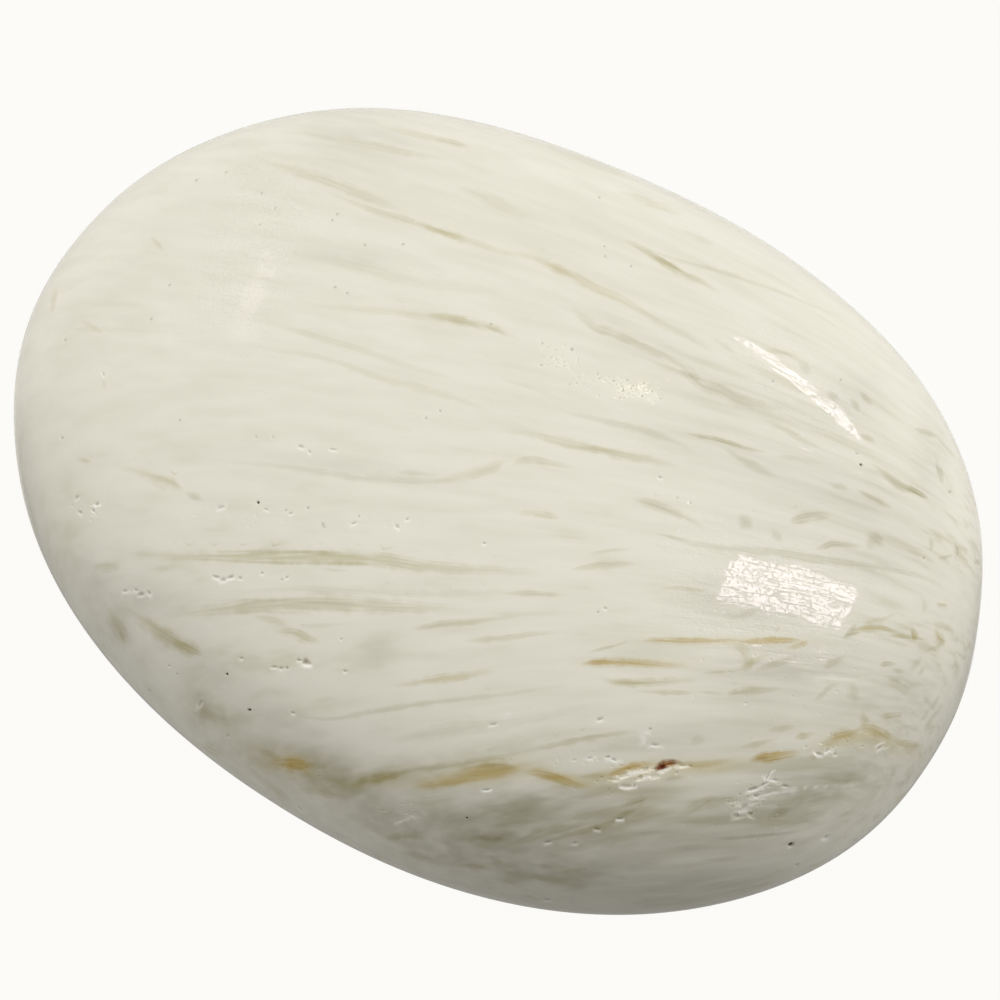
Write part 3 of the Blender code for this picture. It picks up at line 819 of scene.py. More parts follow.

# Broad soft clouds of clearer or stained stone, and painted shade on the lower side: middle, half length and
# half width in pixels, turn in degrees, then how much grey, olive and tan each adds
softClouds = [
    # the lower side under the vein: greyer, olive-stained stone, darkened further with painted shade
    (560, 820, 120, 28, -8, 0.22, 0.26, 0.0), (460, 828, 100, 22, 6, 0.30, 0.22, 0.0),
    (560, 798, 70, 12, -6, 0.20, 0.10, 0.0), (765, 800, 50, 15, -14, 0.16, 0.10, 0.0),
    (800, 800, 90, 26, -14, 0.16, 0.20, 0.0), (690, 836, 120, 22, -6, 0.18, 0.14, 0.0),
    (600, 878, 150, 20, 2, 0.30, 0.12, 0.0), (310, 760, 62, 22, 26, 0.22, 0.08, 0.0),
    (345, 780, 46, 16, 24, 0.18, 0.12, 0.0), (204, 706, 20, 14, 50, 0.10, 0.42, 0.06),
    (222, 718, 26, 9, 4, 0.08, 0.38, 0.05), (262, 760, 34, 14, 20, 0.06, 0.20, 0.08),
    (332, 782, 40, 12, 16, 0.06, 0.30, 0.06), (160, 600, 90, 12, 4, 0.12, 0.0, 0.0),
    (90, 575, 30, 12, 30, 0.14, 0.06, 0.0), (115, 625, 14, 24, -10, 0.08, 0.16, 0.0),
    (200, 660, 60, 20, 32, 0.14, 0.04, 0.0), (380, 645, 20, 26, 20, 0.10, 0.04, 0.02),
    (470, 755, 120, 10, -10, 0.04, 0.18, 0.04), (620, 745, 60, 12, -8, 0.10, 0.12, 0.0),
    (330, 465, 100, 9, 6, 0.12, 0.0, 0.0), (340, 255, 70, 8, 8, 0.08, 0.02, 0.0),
    (660, 350, 80, 16, 26, 0.08, 0.02, 0.0), (740, 400, 60, 18, 18, 0.10, 0.02, 0.0),
    (690, 440, 60, 26, 16, 0.08, 0.0, 0.0), (760, 470, 60, 30, 20, 0.10, 0.0, 0.0),
    (820, 480, 60, 34, 24, 0.12, 0.02, 0.0), (870, 560, 60, 30, 10, 0.14, 0.02, 0.0),
    (870, 510, 50, 30, 20, 0.12, 0.02, 0.0), (770, 610, 60, 14, 4, 0.20, 0.0, 0.0),
    (720, 590, 30, 16, 0, 0.12, 0.0, 0.0), (840, 660, 60, 20, -10, 0.12, 0.04, 0.0),
    (780, 690, 70, 26, -4, 0.14, 0.04, 0.0), (870, 700, 50, 24, -10, 0.16, 0.04, 0.02),
    (910, 700, 26, 40, 20, 0.14, 0.0, 0.0), (700, 740, 60, 16, -6, 0.14, 0.08, 0.0),
    (800, 770, 50, 18, -10, 0.14, 0.16, 0.0), (850, 775, 50, 22, -20, 0.16, 0.12, 0.0),
    (750, 735, 50, 14, -10, 0.08, 0.10, 0.03), (880, 745, 40, 12, 10, 0.08, 0.04, 0.08),
    (660, 775, 60, 14, -8, 0.04, 0.08, 0.04), (300, 765, 26, 12, 6, 0.0, 0.08, 0.10),
    # the greyer lower side, darker still with painted shade, with its upper edge along the amber vein
    (520, 802, 100, 16, -4, 0.13, 0.02, 0.0), (365, 805, 60, 18, 25, 0.12, 0.06, 0.0),
    (490, 856, 80, 12, 6, 0.14, 0.04, 0.0), (760, 865, 90, 20, -20, 0.14, 0.0, 0.0),
    (900, 745, 60, 40, -50, 0.05, 0.0, 0.0), (125, 652, 60, 18, 50, 0.12, 0.0, 0.0),
    (245, 755, 70, 14, 38, 0.12, 0.0, 0.0), (430, 775, 90, 9, -5, 0.0, 0.34, 0.06),
    (282, 762, 32, 14, 10, 0.0, 0.14, 0.10), (490, 772, 46, 10, -6, 0.0, 0.16, 0.26),
    (575, 782, 40, 8, 10, 0.0, 0.14, 0.16), (700, 765, 60, 7, -4, 0.0, 0.10, 0.16),
    (520, 815, 60, 12, -16, 0.06, 0.22, 0.0), (640, 800, 40, 10, -24, 0.0, 0.18, 0.0),
    (760, 665, 60, 22, -5, 0.15, 0.05, 0.0), (850, 402, 30, 44, 50, 0.14, 0.03, 0.0),
    (930, 458, 18, 52, -10, 0.15, 0.03, 0.0), (760, 528, 46, 18, 10, 0.11, 0.0, 0.0),
    (615, 655, 60, 16, 0, 0.07, 0.02, 0.0), (150, 600, 50, 30, 30, 0.08, 0.02, 0.0),
    (440, 792, 50, 10, 0, 0.12, 0.04, 0.0), (290, 722, 60, 14, 20, 0.10, 0.04, 0.0),
    (360, 140, 60, 22, 5, 0.13, 0.03, 0.0), (720, 200, 80, 30, 30, 0.08, 0.02, 0.0),
    # stained patches along the vein
    (292, 764, 15, 7, 5, 0.0, 0.0, 0.70), (484, 773, 36, 8, -9, 0.0, 0.02, 0.32),
    (440, 782, 30, 6, -8, 0.0, 0.10, 0.35), (556, 777, 30, 5, 14, 0.0, 0.04, 0.50),
    (375, 780, 34, 7, -8, 0.0, 0.16, 0.20), (630, 772, 26, 7, -12, 0.0, 0.04, 0.45),
    (700, 768, 40, 6, -3, 0.0, 0.04, 0.26), (850, 738, 34, 7, -14, 0.0, 0.04, 0.26),
    (890, 742, 26, 7, 20, 0.0, 0.04, 0.24), (640, 663, 52, 4, 0, 0.0, 0.0, 0.30),
    (730, 641, 70, 4, 0, 0.0, 0.0, 0.30),
]

# White bruises and scratches: course in pixels, half width, strength
whiteMarks = [
    ([(612, 781), (630, 774), (650, 770), (655, 769)], 2.6, 0.85),
    ([(613, 778), (628, 776), (640, 774)], 1.6, 0.7), ([(618, 786), (628, 788), (638, 787)], 2.0, 0.75),
    ([(636, 780), (650, 777), (662, 775)], 1.8, 0.8), ([(656, 774), (664, 771), (672, 768)], 1.8, 0.8),
    ([(674, 767), (680, 768), (690, 766)], 1.4, 0.7),
    ([(389, 826), (400, 822), (413, 816), (428, 812)], 1.2, 0.55),
    ([(480, 791), (488, 791), (493, 789)], 1.6, 0.8), ([(195, 712), (198, 704), (203, 697)], 1.6, 0.5),
    ([(615, 821), (620, 820), (625, 820)], 1.8, 0.8), ([(730, 816), (742, 812), (752, 810)], 1.6, 0.7),
    ([(734, 806), (744, 806), (754, 805)], 1.4, 0.6), ([(745, 793), (755, 790), (765, 789)], 1.6, 0.75),
    ([(748, 798), (762, 796), (780, 792), (800, 790)], 1.4, 0.65),
    ([(778, 790), (800, 788), (830, 787), (858, 784)], 1.3, 0.5),
    ([(762, 775), (766, 780), (778, 781)], 1.2, 0.8), ([(764, 779), (772, 772), (776, 770)], 1.2, 0.7),
    ([(812, 751), (818, 757), (822, 755)], 1.2, 0.85), ([(824, 756), (827, 751), (834, 753)], 1.2, 0.75),
    ([(874, 748), (880, 744), (886, 742)], 1.4, 0.6),
    ([(790, 679), (815, 678), (860, 680), (884, 679)], 1.3, 0.32),
    ([(638, 731), (648, 733), (652, 736)], 1.3, 0.6), ([(646, 748), (656, 746), (666, 748)], 1.3, 0.55),
    ([(604, 762), (612, 760), (624, 762)], 1.6, 0.6), ([(584, 759), (592, 757), (598, 758)], 1.3, 0.5),
    ([(222, 581), (228, 580), (236, 577)], 1.5, 0.55), ([(214, 577), (219, 580), (225, 581)], 1.2, 0.5),
    ([(303, 666), (308, 667), (312, 665)], 1.6, 0.7), ([(216, 509), (221, 507), (227, 504)], 1.4, 0.6),
    ([(92, 505), (97, 506), (102, 503)], 1.5, 0.5), ([(122, 590), (130, 592), (138, 594)], 1.3, 0.4),
    ([(148, 597), (151, 595), (152, 592)], 1.2, 0.4), ([(297, 810), (300, 809), (303, 811)], 1.8, 0.4),
    ([(820, 840), (825, 838), (829, 837)], 1.2, 0.8), ([(497, 717), (505, 715), (512, 714)], 1.5, 0.35),
    ([(640, 735), (645, 740), (640, 746)], 1.2, 0.45), ([(880, 750), (886, 748), (890, 746)], 1.2, 0.5),
]

# Where faint streaks lie at random: middle in pixels, half length, half width, turn, how strongly
looseStreaks = [
    (650, 840, 330, 78, 0, 1.0), (935, 620, 75, 190, 8, 0.60), (540, 540, 120, 100, 0, 0.36),
    (230, 600, 190, 130, 15, 0.34), (830, 400, 150, 90, 40, 0.40), (250, 780, 150, 60, 32, 0.30),
]

# Where the polish is coarser and breaks up a reflection: middle in pixels, half length, half width, turn
coarsePolish = [(788, 590, 105, 58, 12), (802, 388, 85, 34, 42), (255, 255, 90, 50, -70)]

# How the marks are painted
painting = {
    "layers": 6,  # streaks that lie close together go on different layers
    "outside": 9.0,  # half widths, where a layer has no streak
    "fadeStart": 3.0,  # pixels beyond a streak's edge
    "fadeEnd": 6.0,
    "keepOut": 11.0,  # pixels beyond a streak's edge that no other streak of its layer enters
    "tip": 0.30,  # width of a streak's ends, as a share of its full width
    "swell": 0.8,  # exponent: less makes a streak keep its width for longer
    "tintLimits": (0.6, 0.9),  # from clear to amber, and from amber to brown
    "tintStrengths": (0.9, 0.75, 1.15),  # what a strength counts for, for clear, amber and brown streaks
    "courseSteps": 6,  # from one given pixel of a streak to the next
    "markSteps": 4,  # the same for a white mark
    "markReach": 9,  # pixels round a white mark that it may touch
    "markSwell": 0.5,
    # a painted highlight on a pit's lower lip
    "lipFrom": 5,  # pixels that a pit is long, for a lip to show
    "lipLength": 0.6,  # half of it, to the pit's length
    "lipBelow": 0.75,  # to the pit's width
    "lipWidth": 1.2,  # pixels
    "lipStrength": 0.5,
    "grazing": (0.03, 0.15),  # how far a surface faces the viewer, where marks fade in
}


# A smooth course through the given pixels
def smoothCourse(points, steps):
    points = np.array(points, float)
    padded = np.vstack([2 * points[0] - points[1], points, 2 * points[-1] - points[-2]])
    course = []
    for a, b, c, d in zip(padded[:-3], padded[1:-2], padded[2:-1], padded[3:]):
        for t in np.arange(steps) / steps:
            squared = (2 * a - 5 * b + 4 * c - d) * t * t
            cubed = (3 * b - a - 3 * c + d) * t**3
            course.append(0.5 * (2 * b + (c - a) * t + squared + cubed))
    return np.array(course + [points[-1]])


# How far along a course each pixel lies, from 0 to 1, and how far to its side in pixels, with a sign
def alongCourse(pixels, course):
    runs = course[1:] - course[:-1]
    lengths = np.linalg.norm(runs, axis=1)
    done = np.concatenate([[0.0], np.cumsum(lengths)])
    best = np.full(len(pixels), np.inf)
    share, side = np.zeros(len(pixels)), np.zeros(len(pixels))
    for start, run, length, before in zip(course[:-1], runs, lengths, done):
        fromStart = pixels - start
        part = np.clip(fromStart @ run / length**2, 0.0, 1.0)
        off = fromStart - part[:, None] * run
        distance = np.hypot(off[:, 0], off[:, 1])
        sign = np.where(run[0] * fromStart[:, 1] - run[1] * fromStart[:, 0] < 0, -1.0, 1.0)
        closer = distance < best
        best = np.where(closer, distance, best)
        share = np.where(closer, (before + part * length) / done[-1], share)
        side = np.where(closer, sign * distance, side)
    return share, side


# 0 below low, 1 above high, and a smooth rise between them
def smoothStep(low, high, value):
    t = np.clip((value - low) / (high - low), 0.0, 1.0)
    return t * t * (3 - 2 * t)


# A needle bundle's swell along its length: nothing at both ends, full at its peak
def needleShape(share, peak):
    rise = np.clip(np.minimum(share / peak, (1 - share) / (1 - peak)), 0.0, 1.0)
    return np.sin(np.pi / 2 * rise) ** painting["swell"]


def storeVectors(mesh, name, values):
    attribute = mesh.attributes.get(name) or mesh.attributes.new(name, "FLOAT_VECTOR", "POINT")
    attribute.data.foreach_set("vector", values.astype(np.float32).ravel())


# A soft-edged oval: 1 in its middle, and flatter there the higher the power is. A row is the oval's
# middle, its half length, its half width and its turn.
def ovalShape(pixels, row, power):
    across, down, halfLong, halfShort, degrees = row
    away = pixels - (across, down)
    a = math.radians(degrees)
    far = away[:, 0] * math.cos(a) + away[:, 1] * math.sin(a)
    side = away[:, 1] * math.cos(a) - away[:, 0] * math.sin(a)
    return np.exp(-((far / halfLong) ** power) - (side / halfShort) ** power)


# Which of the points that face the viewer lie within reach of a course
def nearCourse(pixels, facing, course, reach):
    low, high = course.min(0) - reach, course.max(0) + reach
    return np.nonzero((pixels > low).all(1) & (pixels < high).all(1) & (facing > 0))[0]


# A streak is stored as the signed distance from its middle line in half widths, its strength and its tint,
# so that its edges stay sharper than the mesh is fine
def paintStreaks(mesh, pixels, facing, seen):
    layers = np.zeros((painting["layers"], len(pixels), 3))
    layers[:, :, 0] = painting["outside"]
    taken = np.zeros((painting["layers"], len(pixels)), bool)
    crowded = 0
    for course, half, strength, tint, peak in crispStreaks:
        course = smoothCourse(course, painting["courseSteps"])
        reach = half + painting["keepOut"]
        near = nearCourse(pixels, facing, course, reach)
        share, side = alongCourse(pixels[near], course)
        near, share, side = (values[np.abs(side) < reach] for values in (near, share, side))
        swell = needleShape(share, peak)
        width = half * (painting["tip"] + (1 - painting["tip"]) * swell)
        fade = 1 - smoothStep(half + painting["fadeStart"], half + painting["fadeEnd"], np.abs(side))
        clear = [layer for layer in range(painting["layers"]) if not taken[layer, near].any()]
        if not clear:
            crowded += 1
            clear = [int(np.argmin([layer[near].sum() for layer in taken]))]
            free = ~taken[clear[0], near]
            near, side, width, swell, fade = (v[free] for v in (near, side, width, swell, fade))
        layer = clear[0]
        counts = painting["tintStrengths"][np.searchsorted(painting["tintLimits"], tint, side="right")]
        amount = strength * counts * swell * fade * seen[near]
        layers[layer, near] = np.stack([side / width, amount, np.full(len(near), tint)], 1)
        taken[layer, near] = True
    print("streaks", len(crispStreaks), "without a clear layer", crowded)
    for number, values in enumerate(layers):
        storeVectors(mesh, f"streak{number}", values)


# How much grey, olive and tan all the clouds add at each point
def paintClouds(mesh, pixels, facing, seen):
    clouds = np.zeros((len(pixels), 3))
    for row in softClouds:
        cloud = ovalShape(pixels, row[:5], 2) * seen * (facing > 0)
        clouds += cloud[:, None] * np.array(row[5:])
    storeVectors(mesh, "clouds", clouds)


# Painted highlights: white along the lower lip of each pit that is long enough, where chipped needle ends
# catch the light
def pitLipHighlights():
    lips = []
    for across, down, length, width, degrees, _ in pits["places"]:
        if length < painting["lipFrom"]:
            continue
        a = math.radians(degrees)
        step = np.array((math.cos(a), math.sin(a))) * length * painting["lipLength"]
        lip = np.array((across, down + width * painting["lipBelow"]))
        lips.append(([lip - step, lip, lip + step], painting["lipWidth"], painting["lipStrength"]))
    return lips


# How white each point is, from bruises and from painted highlights on pit lips, how much of the loose
# streaks it shows, and how coarse its polish is
def paintBruisesAndLipHighlights(mesh, pixels, facing, seen):
    white = np.zeros(len(pixels))
    for course, half, strength in whiteMarks + pitLipHighlights():
        course = smoothCourse(course, painting["markSteps"])
        near = nearCourse(pixels, facing, course, painting["markReach"])
        share, side = alongCourse(pixels[near], course)
        mark = strength * np.exp(-((side / half) ** 2)) * needleShape(share, 0.5) ** painting["markSwell"]
        white[near] = np.maximum(white[near], mark)
    peel = np.zeros(len(pixels))
    for row in coarsePolish:
        peel += ovalShape(pixels, row, 4) * (facing > 0)
    loose = 1 - seen  # loose streaks lie everywhere that the camera doesn't look
    for *row, amount in looseStreaks:
        patch = amount * ovalShape(pixels, row, 4)
        loose = np.maximum(loose, patch * (facing > 0))
    storeVectors(mesh, "bruisesAndLipHighlights", np.stack([white * seen, loose, np.minimum(peel, 1.0)], 1))


# Paints all the marks into point attributes
def paintStone(mesh):
    points = readPoints(mesh)
    normals = np.empty(len(mesh.vertices) * 3, np.float32)
    mesh.vertex_normals.foreach_get("vector", normals)
    towardsEye = np.array(eye) - points
    towardsEye /= np.linalg.norm(towardsEye, axis=1)[:, None]
    facing = (normals.reshape(-1, 3) * towardsEye).sum(1)
    seen = smoothStep(*painting["grazing"], facing)
    for paint in (paintStreaks, paintClouds, paintBruisesAndLipHighlights):
        paint(mesh, pixelsOf(points), facing, seen)


# Scolecite: a fibrous white zeolite, cut and polished. Polishing leaves it glossy and smooth as porcelain,
# light goes a millimetre or two into it, and its needles show as silky bands that fan out from one point
# in the stone.
polish = {
    "light": "#E8E5D7",  # the densest, whitest needles
    "shade": "#D2CEBA",  # bands that are a little clearer
    # the soft clouds: clear and grey, also painted shade on the lower side, stained olive, stained tan
    "cloud": "#A6A296",
    "moss": "#A39F80",
    "rust": "#CEB976",
    # the tint ramp of the streaks, from bare glassy needles to the stained ones
    "clear": "#BEBCA8",
    "olive": "#BBB690",
    "tan": "#C0B584",
    "amber": "#C0A03C",
    "brown": "#8A3A16",
    "white": "#FFFDF6",  # bruises, where broken needles scatter the light
    "hole": "#1C1A14",  # dirt and shade deep in a hole
    # the clear polish, and the milky body under it
    "ior": 1.52,
    "roughness": 0.02,
    "bodyRoughness": 0.6,
    "inPits": 0.15,  # how much of the polish is left in a pit
    "depth": 1.1,  # mm that light travels inside
    "depthByColour": (1.0, 0.85, 0.6),  # red goes deepest
    "translucency": 0.30,
    # the needles: width in mm midway along the stone, mm along them after which they change, and detail
    "broad": (3.2, 26.0, 2.0),
    "fine": (0.55, 9.0, 2.0),
    "fibre": (0.24, 4.0, 1.0),  # finer than this doesn't show
    "reference": 68.0,  # mm from where the needles grew, where those widths hold
    "flatness": 0.6,  # the needles lie in flat sheaves, so they run long under the polished faces
    "bothBands": 0.55,  # how much the broad bands count towards the loose streaks
    "warmScale": 0.09,  # per mm, of the areas where loose streaks are tan and not olive
    "frayScale": 0.5 / 0.45,  # per mm, of the ragged edges of a streak
    "threads": 2.4,  # to half the width of a streak
    "threadRun": 0.12,  # how much the threads change for each mm along them
    # the relief, that the glints show
    "relief": 0.006,  # mm
    "evenly": 0.10,  # how much of it shows where the polish is at its best
    "under": 0.30,  # how much of it shows through from the body
    "rippleScale": 0.5 / 0.8,  # per mm, of the faint unevenness
    "ripple": 2.0,
    "grainScale": 1 / 0.20,  # per mm, of needle ends
    "grain": -5.0,  # below zero, so they lie a little deeper than what is round them
}

# How noises and painted marks are read: where each starts and ends, and what it gives there
spans = {
    "bands": (0.35, 0.75, 0.0, 0.12),
    "needles": (0.38, 0.80, 0.0, 0.36),
    "loose": (0.83, 1.04, 0.0, 1.0),
    "warm": (0.52, 0.66, 0.0, 1.0),
    "wispy": (0.35, 0.65, 0.70, 0.34),  # fibres thin out a loose streak
    "broken": (0.70, 1.30, 0.62, 1.38),  # needles break up a cloud
    "frayed": (0.30, 0.70, -0.32, 0.32),  # half widths that a streak's edge wanders
    "feather": (0.30, 0.70, -0.18, 0.18),  # half widths that its threads end early or late
    "grainy": (0.30, 0.70, 1.20, 0.80),  # how strongly a thread shows
    "body": (1.45, 0.10, 0.0, 1.0),  # half widths from a streak's middle, from its edge to its core
    # pit floors painted dark, with dirt and painted shade
    "dirtAndShade": (0.1, 0.9, 0.0, 1.0),
    "grain": (0.55, 0.72, 0.0, 1.0),
    "groove": (0.54, 0.60, 0.0, -6.0),
}


# A range node's inputs
def spanned(value, name):
    return {"Value": value} | dict(zip(("From Min", "From Max", "To Min", "To Max"), spans[name]))


def polishedScolecite():
    material = bpy.data.materials.new("polished scolecite")
    material.use_nodes = True
    tree = material.node_tree
    tree.nodes.clear()
    output = addNode(tree, "ShaderNodeOutputMaterial")
    place = addNode(tree, "ShaderNodeTexCoord").outputs["Object"]
    inMm = addNode(tree, "ShaderNodeVectorMath", {0: place, "Scale": 1 / mm}, operation="SCALE")

    # the direction from the spray's centre, and the distance
    middle = tuple(sprayCentre / mm)
    sheaf = (1, 1, polish["flatness"])
    fromSpray = addNode(tree, "ShaderNodeVectorMath", inMm, middle, operation="SUBTRACT")
    flatter = addNode(tree, "ShaderNodeVectorMath", fromSpray, sheaf, operation="MULTIPLY")
    ray = addNode(tree, "ShaderNodeVectorMath", flatter, operation="NORMALIZE")
    distance = addNode(tree, "ShaderNodeVectorMath", fromSpray, operation="LENGTH").outputs["Value"]

    # a bundle of needles keeps its direction and slowly changes along its length
    def needles(name):
        width, run, detail = polish[name]
        scale = polish["reference"] / width / 2
        along = addNode(tree, "ShaderNodeMath", distance, 1 / run / scale, 1.0, operation="MULTIPLY_ADD")
        spot = addNode(tree, "ShaderNodeVectorMath", {0: ray, "Scale": along}, operation="SCALE")
        return addNode(tree, "ShaderNodeTexNoise", {"Vector": spot, "Scale": scale, "Detail": detail})

    # noise that is even in all directions, per mm
    def speckle(scale, detail):
        return addNode(tree, "ShaderNodeTexNoise", {"Vector": inMm, "Scale": scale, "Detail": detail})

    # a colour laid over another, by an amount
    def over(amount, base, top):
        laid = {"Factor": amount, 6: base, 7: top}
        return addNode(tree, "ShaderNodeMix", laid, data_type="RGBA").outputs[2]

    lengthways = addNode(tree, "ShaderNodeMath", distance, polish["threadRun"], operation="MULTIPLY")
    broad = needles("broad")
    fine = needles("fine")
    fibre = needles("fibre")
    cloudy = speckle(polish["warmScale"], 2.0)

    # base: white with soft bands
    bands = addNode(tree, "ShaderNodeMapRange", spanned(broad, "bands"))
    finely = addNode(tree, "ShaderNodeMapRange", spanned(fine, "needles"))
    shaded = addNode(tree, "ShaderNodeMath", bands, finely, operation="ADD")
    base = over(shaded, colour(polish["light"]), colour(polish["shade"]))

    # loose streaks, where both noises run high: on the sides that nothing was listed for, and
    # faintly between the others
    marks = addNode(tree, "ShaderNodeAttribute", attribute_name="bruisesAndLipHighlights").outputs["Vector"]
    # white holds the bruises and the painted highlights on pit lips
    white, loose, peel = addNode(tree, "ShaderNodeSeparateXYZ", marks).outputs
    both = addNode(tree, "ShaderNodeMath", broad, polish["bothBands"], fine, operation="MULTIPLY_ADD")
    streaks = addNode(tree, "ShaderNodeMapRange", spanned(both, "loose"), interpolation_type="SMOOTHSTEP")
    warm = addNode(tree, "ShaderNodeMapRange", spanned(cloudy, "warm"))
    stain = over(warm, colour(polish["olive"]), colour(polish["tan"]))
    wispy = addNode(tree, "ShaderNodeMapRange", spanned(fibre, "wispy"))
    amount = addNode(tree, "ShaderNodeMath", streaks, loose, operation="MULTIPLY")
    amount = addNode(tree, "ShaderNodeMath", amount, wispy, operation="MULTIPLY")
    base = over(amount, base, stain)

    # soft clouds, broken up along the needles; on the lower side they are partly painted shade
    clouds = addNode(tree, "ShaderNodeAttribute", attribute_name="clouds").outputs["Vector"]
    both = addNode(tree, "ShaderNodeMath", fine, fibre, operation="ADD")
    broken = addNode(tree, "ShaderNodeMapRange", spanned(both, "broken"))
    clouds = addNode(tree, "ShaderNodeVectorMath", {0: clouds, "Scale": broken}, operation="SCALE")
    amounts = addNode(tree, "ShaderNodeSeparateXYZ", clouds).outputs
    for amount, name in zip(amounts, ("cloud", "moss", "rust")):
        base = over(amount, base, colour(polish[name]))

    # crisp streaks, layer by layer: each is made of threads that run its whole length, and stains what is
    # under it
    whitest = colour(polish["light"])
    frayed = addNode(tree, "ShaderNodeMapRange", spanned(speckle(polish["frayScale"], 2.0), "frayed"))
    for layer in range(painting["layers"]):
        streak = addNode(tree, "ShaderNodeAttribute", attribute_name=f"streak{layer}").outputs["Vector"]
        side, strength, tint = addNode(tree, "ShaderNodeSeparateXYZ", streak).outputs
        across = addNode(tree, "ShaderNodeCombineXYZ", {0: side, 1: lengthways})
        threads = {"Vector": across, "Scale": polish["threads"], "Detail": 1.0}
        threads = addNode(tree, "ShaderNodeTexNoise", threads, noise_dimensions="2D")
        feather = addNode(tree, "ShaderNodeMapRange", spanned(threads, "feather"))
        grainy = addNode(tree, "ShaderNodeMapRange", spanned(threads, "grainy"))
        away = addNode(tree, "ShaderNodeMath", side, operation="ABSOLUTE")
        away = addNode(tree, "ShaderNodeMath", away, feather, operation="ADD")
        away = addNode(tree, "ShaderNodeMath", away, frayed, operation="ADD")
        body = addNode(tree, "ShaderNodeMapRange", spanned(away, "body"), interpolation_type="SMOOTHSTEP")
        amount = addNode(tree, "ShaderNodeMath", body, strength, operation="MULTIPLY")
        amount = addNode(tree, "ShaderNodeMath", amount, grainy, operation="MULTIPLY")
        ramp = addNode(tree, "ShaderNodeValToRGB", tint)
        stops = ramp.color_ramp.elements
        for spot, name in ((0.0, "clear"), (0.25, "olive"), (0.5, "tan"), (0.75, "amber"), (1.0, "brown")):
            stop = stops[0] if spot == 0.0 else stops[-1] if spot == 1.0 else stops.new(spot)
            stop.color = [part / whole for part, whole in zip(colour(polish[name]), whitest)]
        stained = {"Factor": amount, 6: base, 7: ramp}
        base = addNode(tree, "ShaderNodeMix", stained, data_type="RGBA", blend_type="MULTIPLY").outputs[2]

    # bruised white edges and painted highlights on pit lips, and dirt with painted shade darkening the holes
    base = over(white, base, colour(polish["white"]))
    hollowMarks = addNode(tree, "ShaderNodeAttribute", attribute_name="hollow").outputs["Vector"]
    inside, floor, _ = addNode(tree, "ShaderNodeSeparateXYZ", hollowMarks).outputs
    dirtAndShade = addNode(tree, "ShaderNodeMapRange", spanned(floor, "dirtAndShade"))
    base = over(dirtAndShade, base, colour(polish["hole"]))

    # fine relief: a grain of needle ends, and grooves where single needles have come away
    grain = addNode(tree, "ShaderNodeMapRange", spanned(speckle(polish["grainScale"], 0.0), "grain"))
    ripple = speckle(polish["rippleScale"], 0.0)
    groove = addNode(tree, "ShaderNodeMapRange", spanned(fibre, "groove"))
    relief = addNode(tree, "ShaderNodeMath", grain, polish["grain"], groove, operation="MULTIPLY_ADD")
    relief = addNode(tree, "ShaderNodeMath", ripple, polish["ripple"], relief, operation="MULTIPLY_ADD")
    peeled = addNode(tree, "ShaderNodeMapRange", {"Value": peel, "To Min": polish["evenly"], "To Max": 1.0})
    relief = addNode(tree, "ShaderNodeMath", relief, peeled, operation="MULTIPLY")
    bump = {"Strength": 1.0, "Distance": polish["relief"] * mm, "Height": relief}
    bump = addNode(tree, "ShaderNodeBump", bump)
    softly = {"Strength": 1.0, "Distance": polish["relief"] * polish["under"] * mm, "Height": relief}
    softly = addNode(tree, "ShaderNodeBump", softly)

    # The polish is a layer of its own. Its relief breaks up the glints and leaves the milky body under it
    # smooth, and a pit has little of it.
    polished = {"Value": inside, "To Min": 1.0, "To Max": polish["inPits"]}
    polished = addNode(tree, "ShaderNodeMapRange", polished)
    surface = addNode(tree, "ShaderNodeBsdfPrincipled", {
        "Base Color": base,
        "Roughness": polish["bodyRoughness"],
        "Specular IOR Level": 0.0,
        "Normal": softly,
        "Coat Weight": polished,
        "Coat Roughness": polish["roughness"],
        "Coat IOR": polish["ior"],
        "Coat Normal": bump,
        "Subsurface Weight": polish["translucency"],
        "Subsurface Scale": polish["depth"] * mm,
        "Subsurface Radius": polish["depthByColour"],
    })
    surface.subsurface_method = "BURLEY"
    tree.links.new(surface.outputs[0], output.inputs["Surface"])
    return material


# Plain paper floor and backdrop. It shows pale and takes a faint shadow, and throws no light back up.
studio = {
    "room": "#FFFCF4",  # the room's own soft light
    "above": 0.08,  # of that light, from above
    "lowInFront": 0.37,  # from the table before the stone
    "lowBehind": 0.82,  # and from the table behind it
    "behindFrom": (0.40, 0.50),  # how far ahead of the viewer the one gives way to the other
    "horizon": (-0.15, 0.15),  # the heights between which low light gives way to light from above
    "horizonTilt": -0.2,  # below zero, so the far side of the room counts as lower
    "paper": "#FEFDFA",
    "paperBase": "#1C1C1C",  # dark, so that lamps and shadows show faintly on the paper
    "paperRoughness": 0.9,
    "glow": 0.97,
    "floorRadius": 1.6,  # m
    "floorSides": 96,
    "bend": 0.6,  # m, where the floor curves up into the wall
    "bendSteps": 12,
    "wallTop": 3.0,  # m
    "glass": "#FFEAF4",  # daylight through the window panes
}

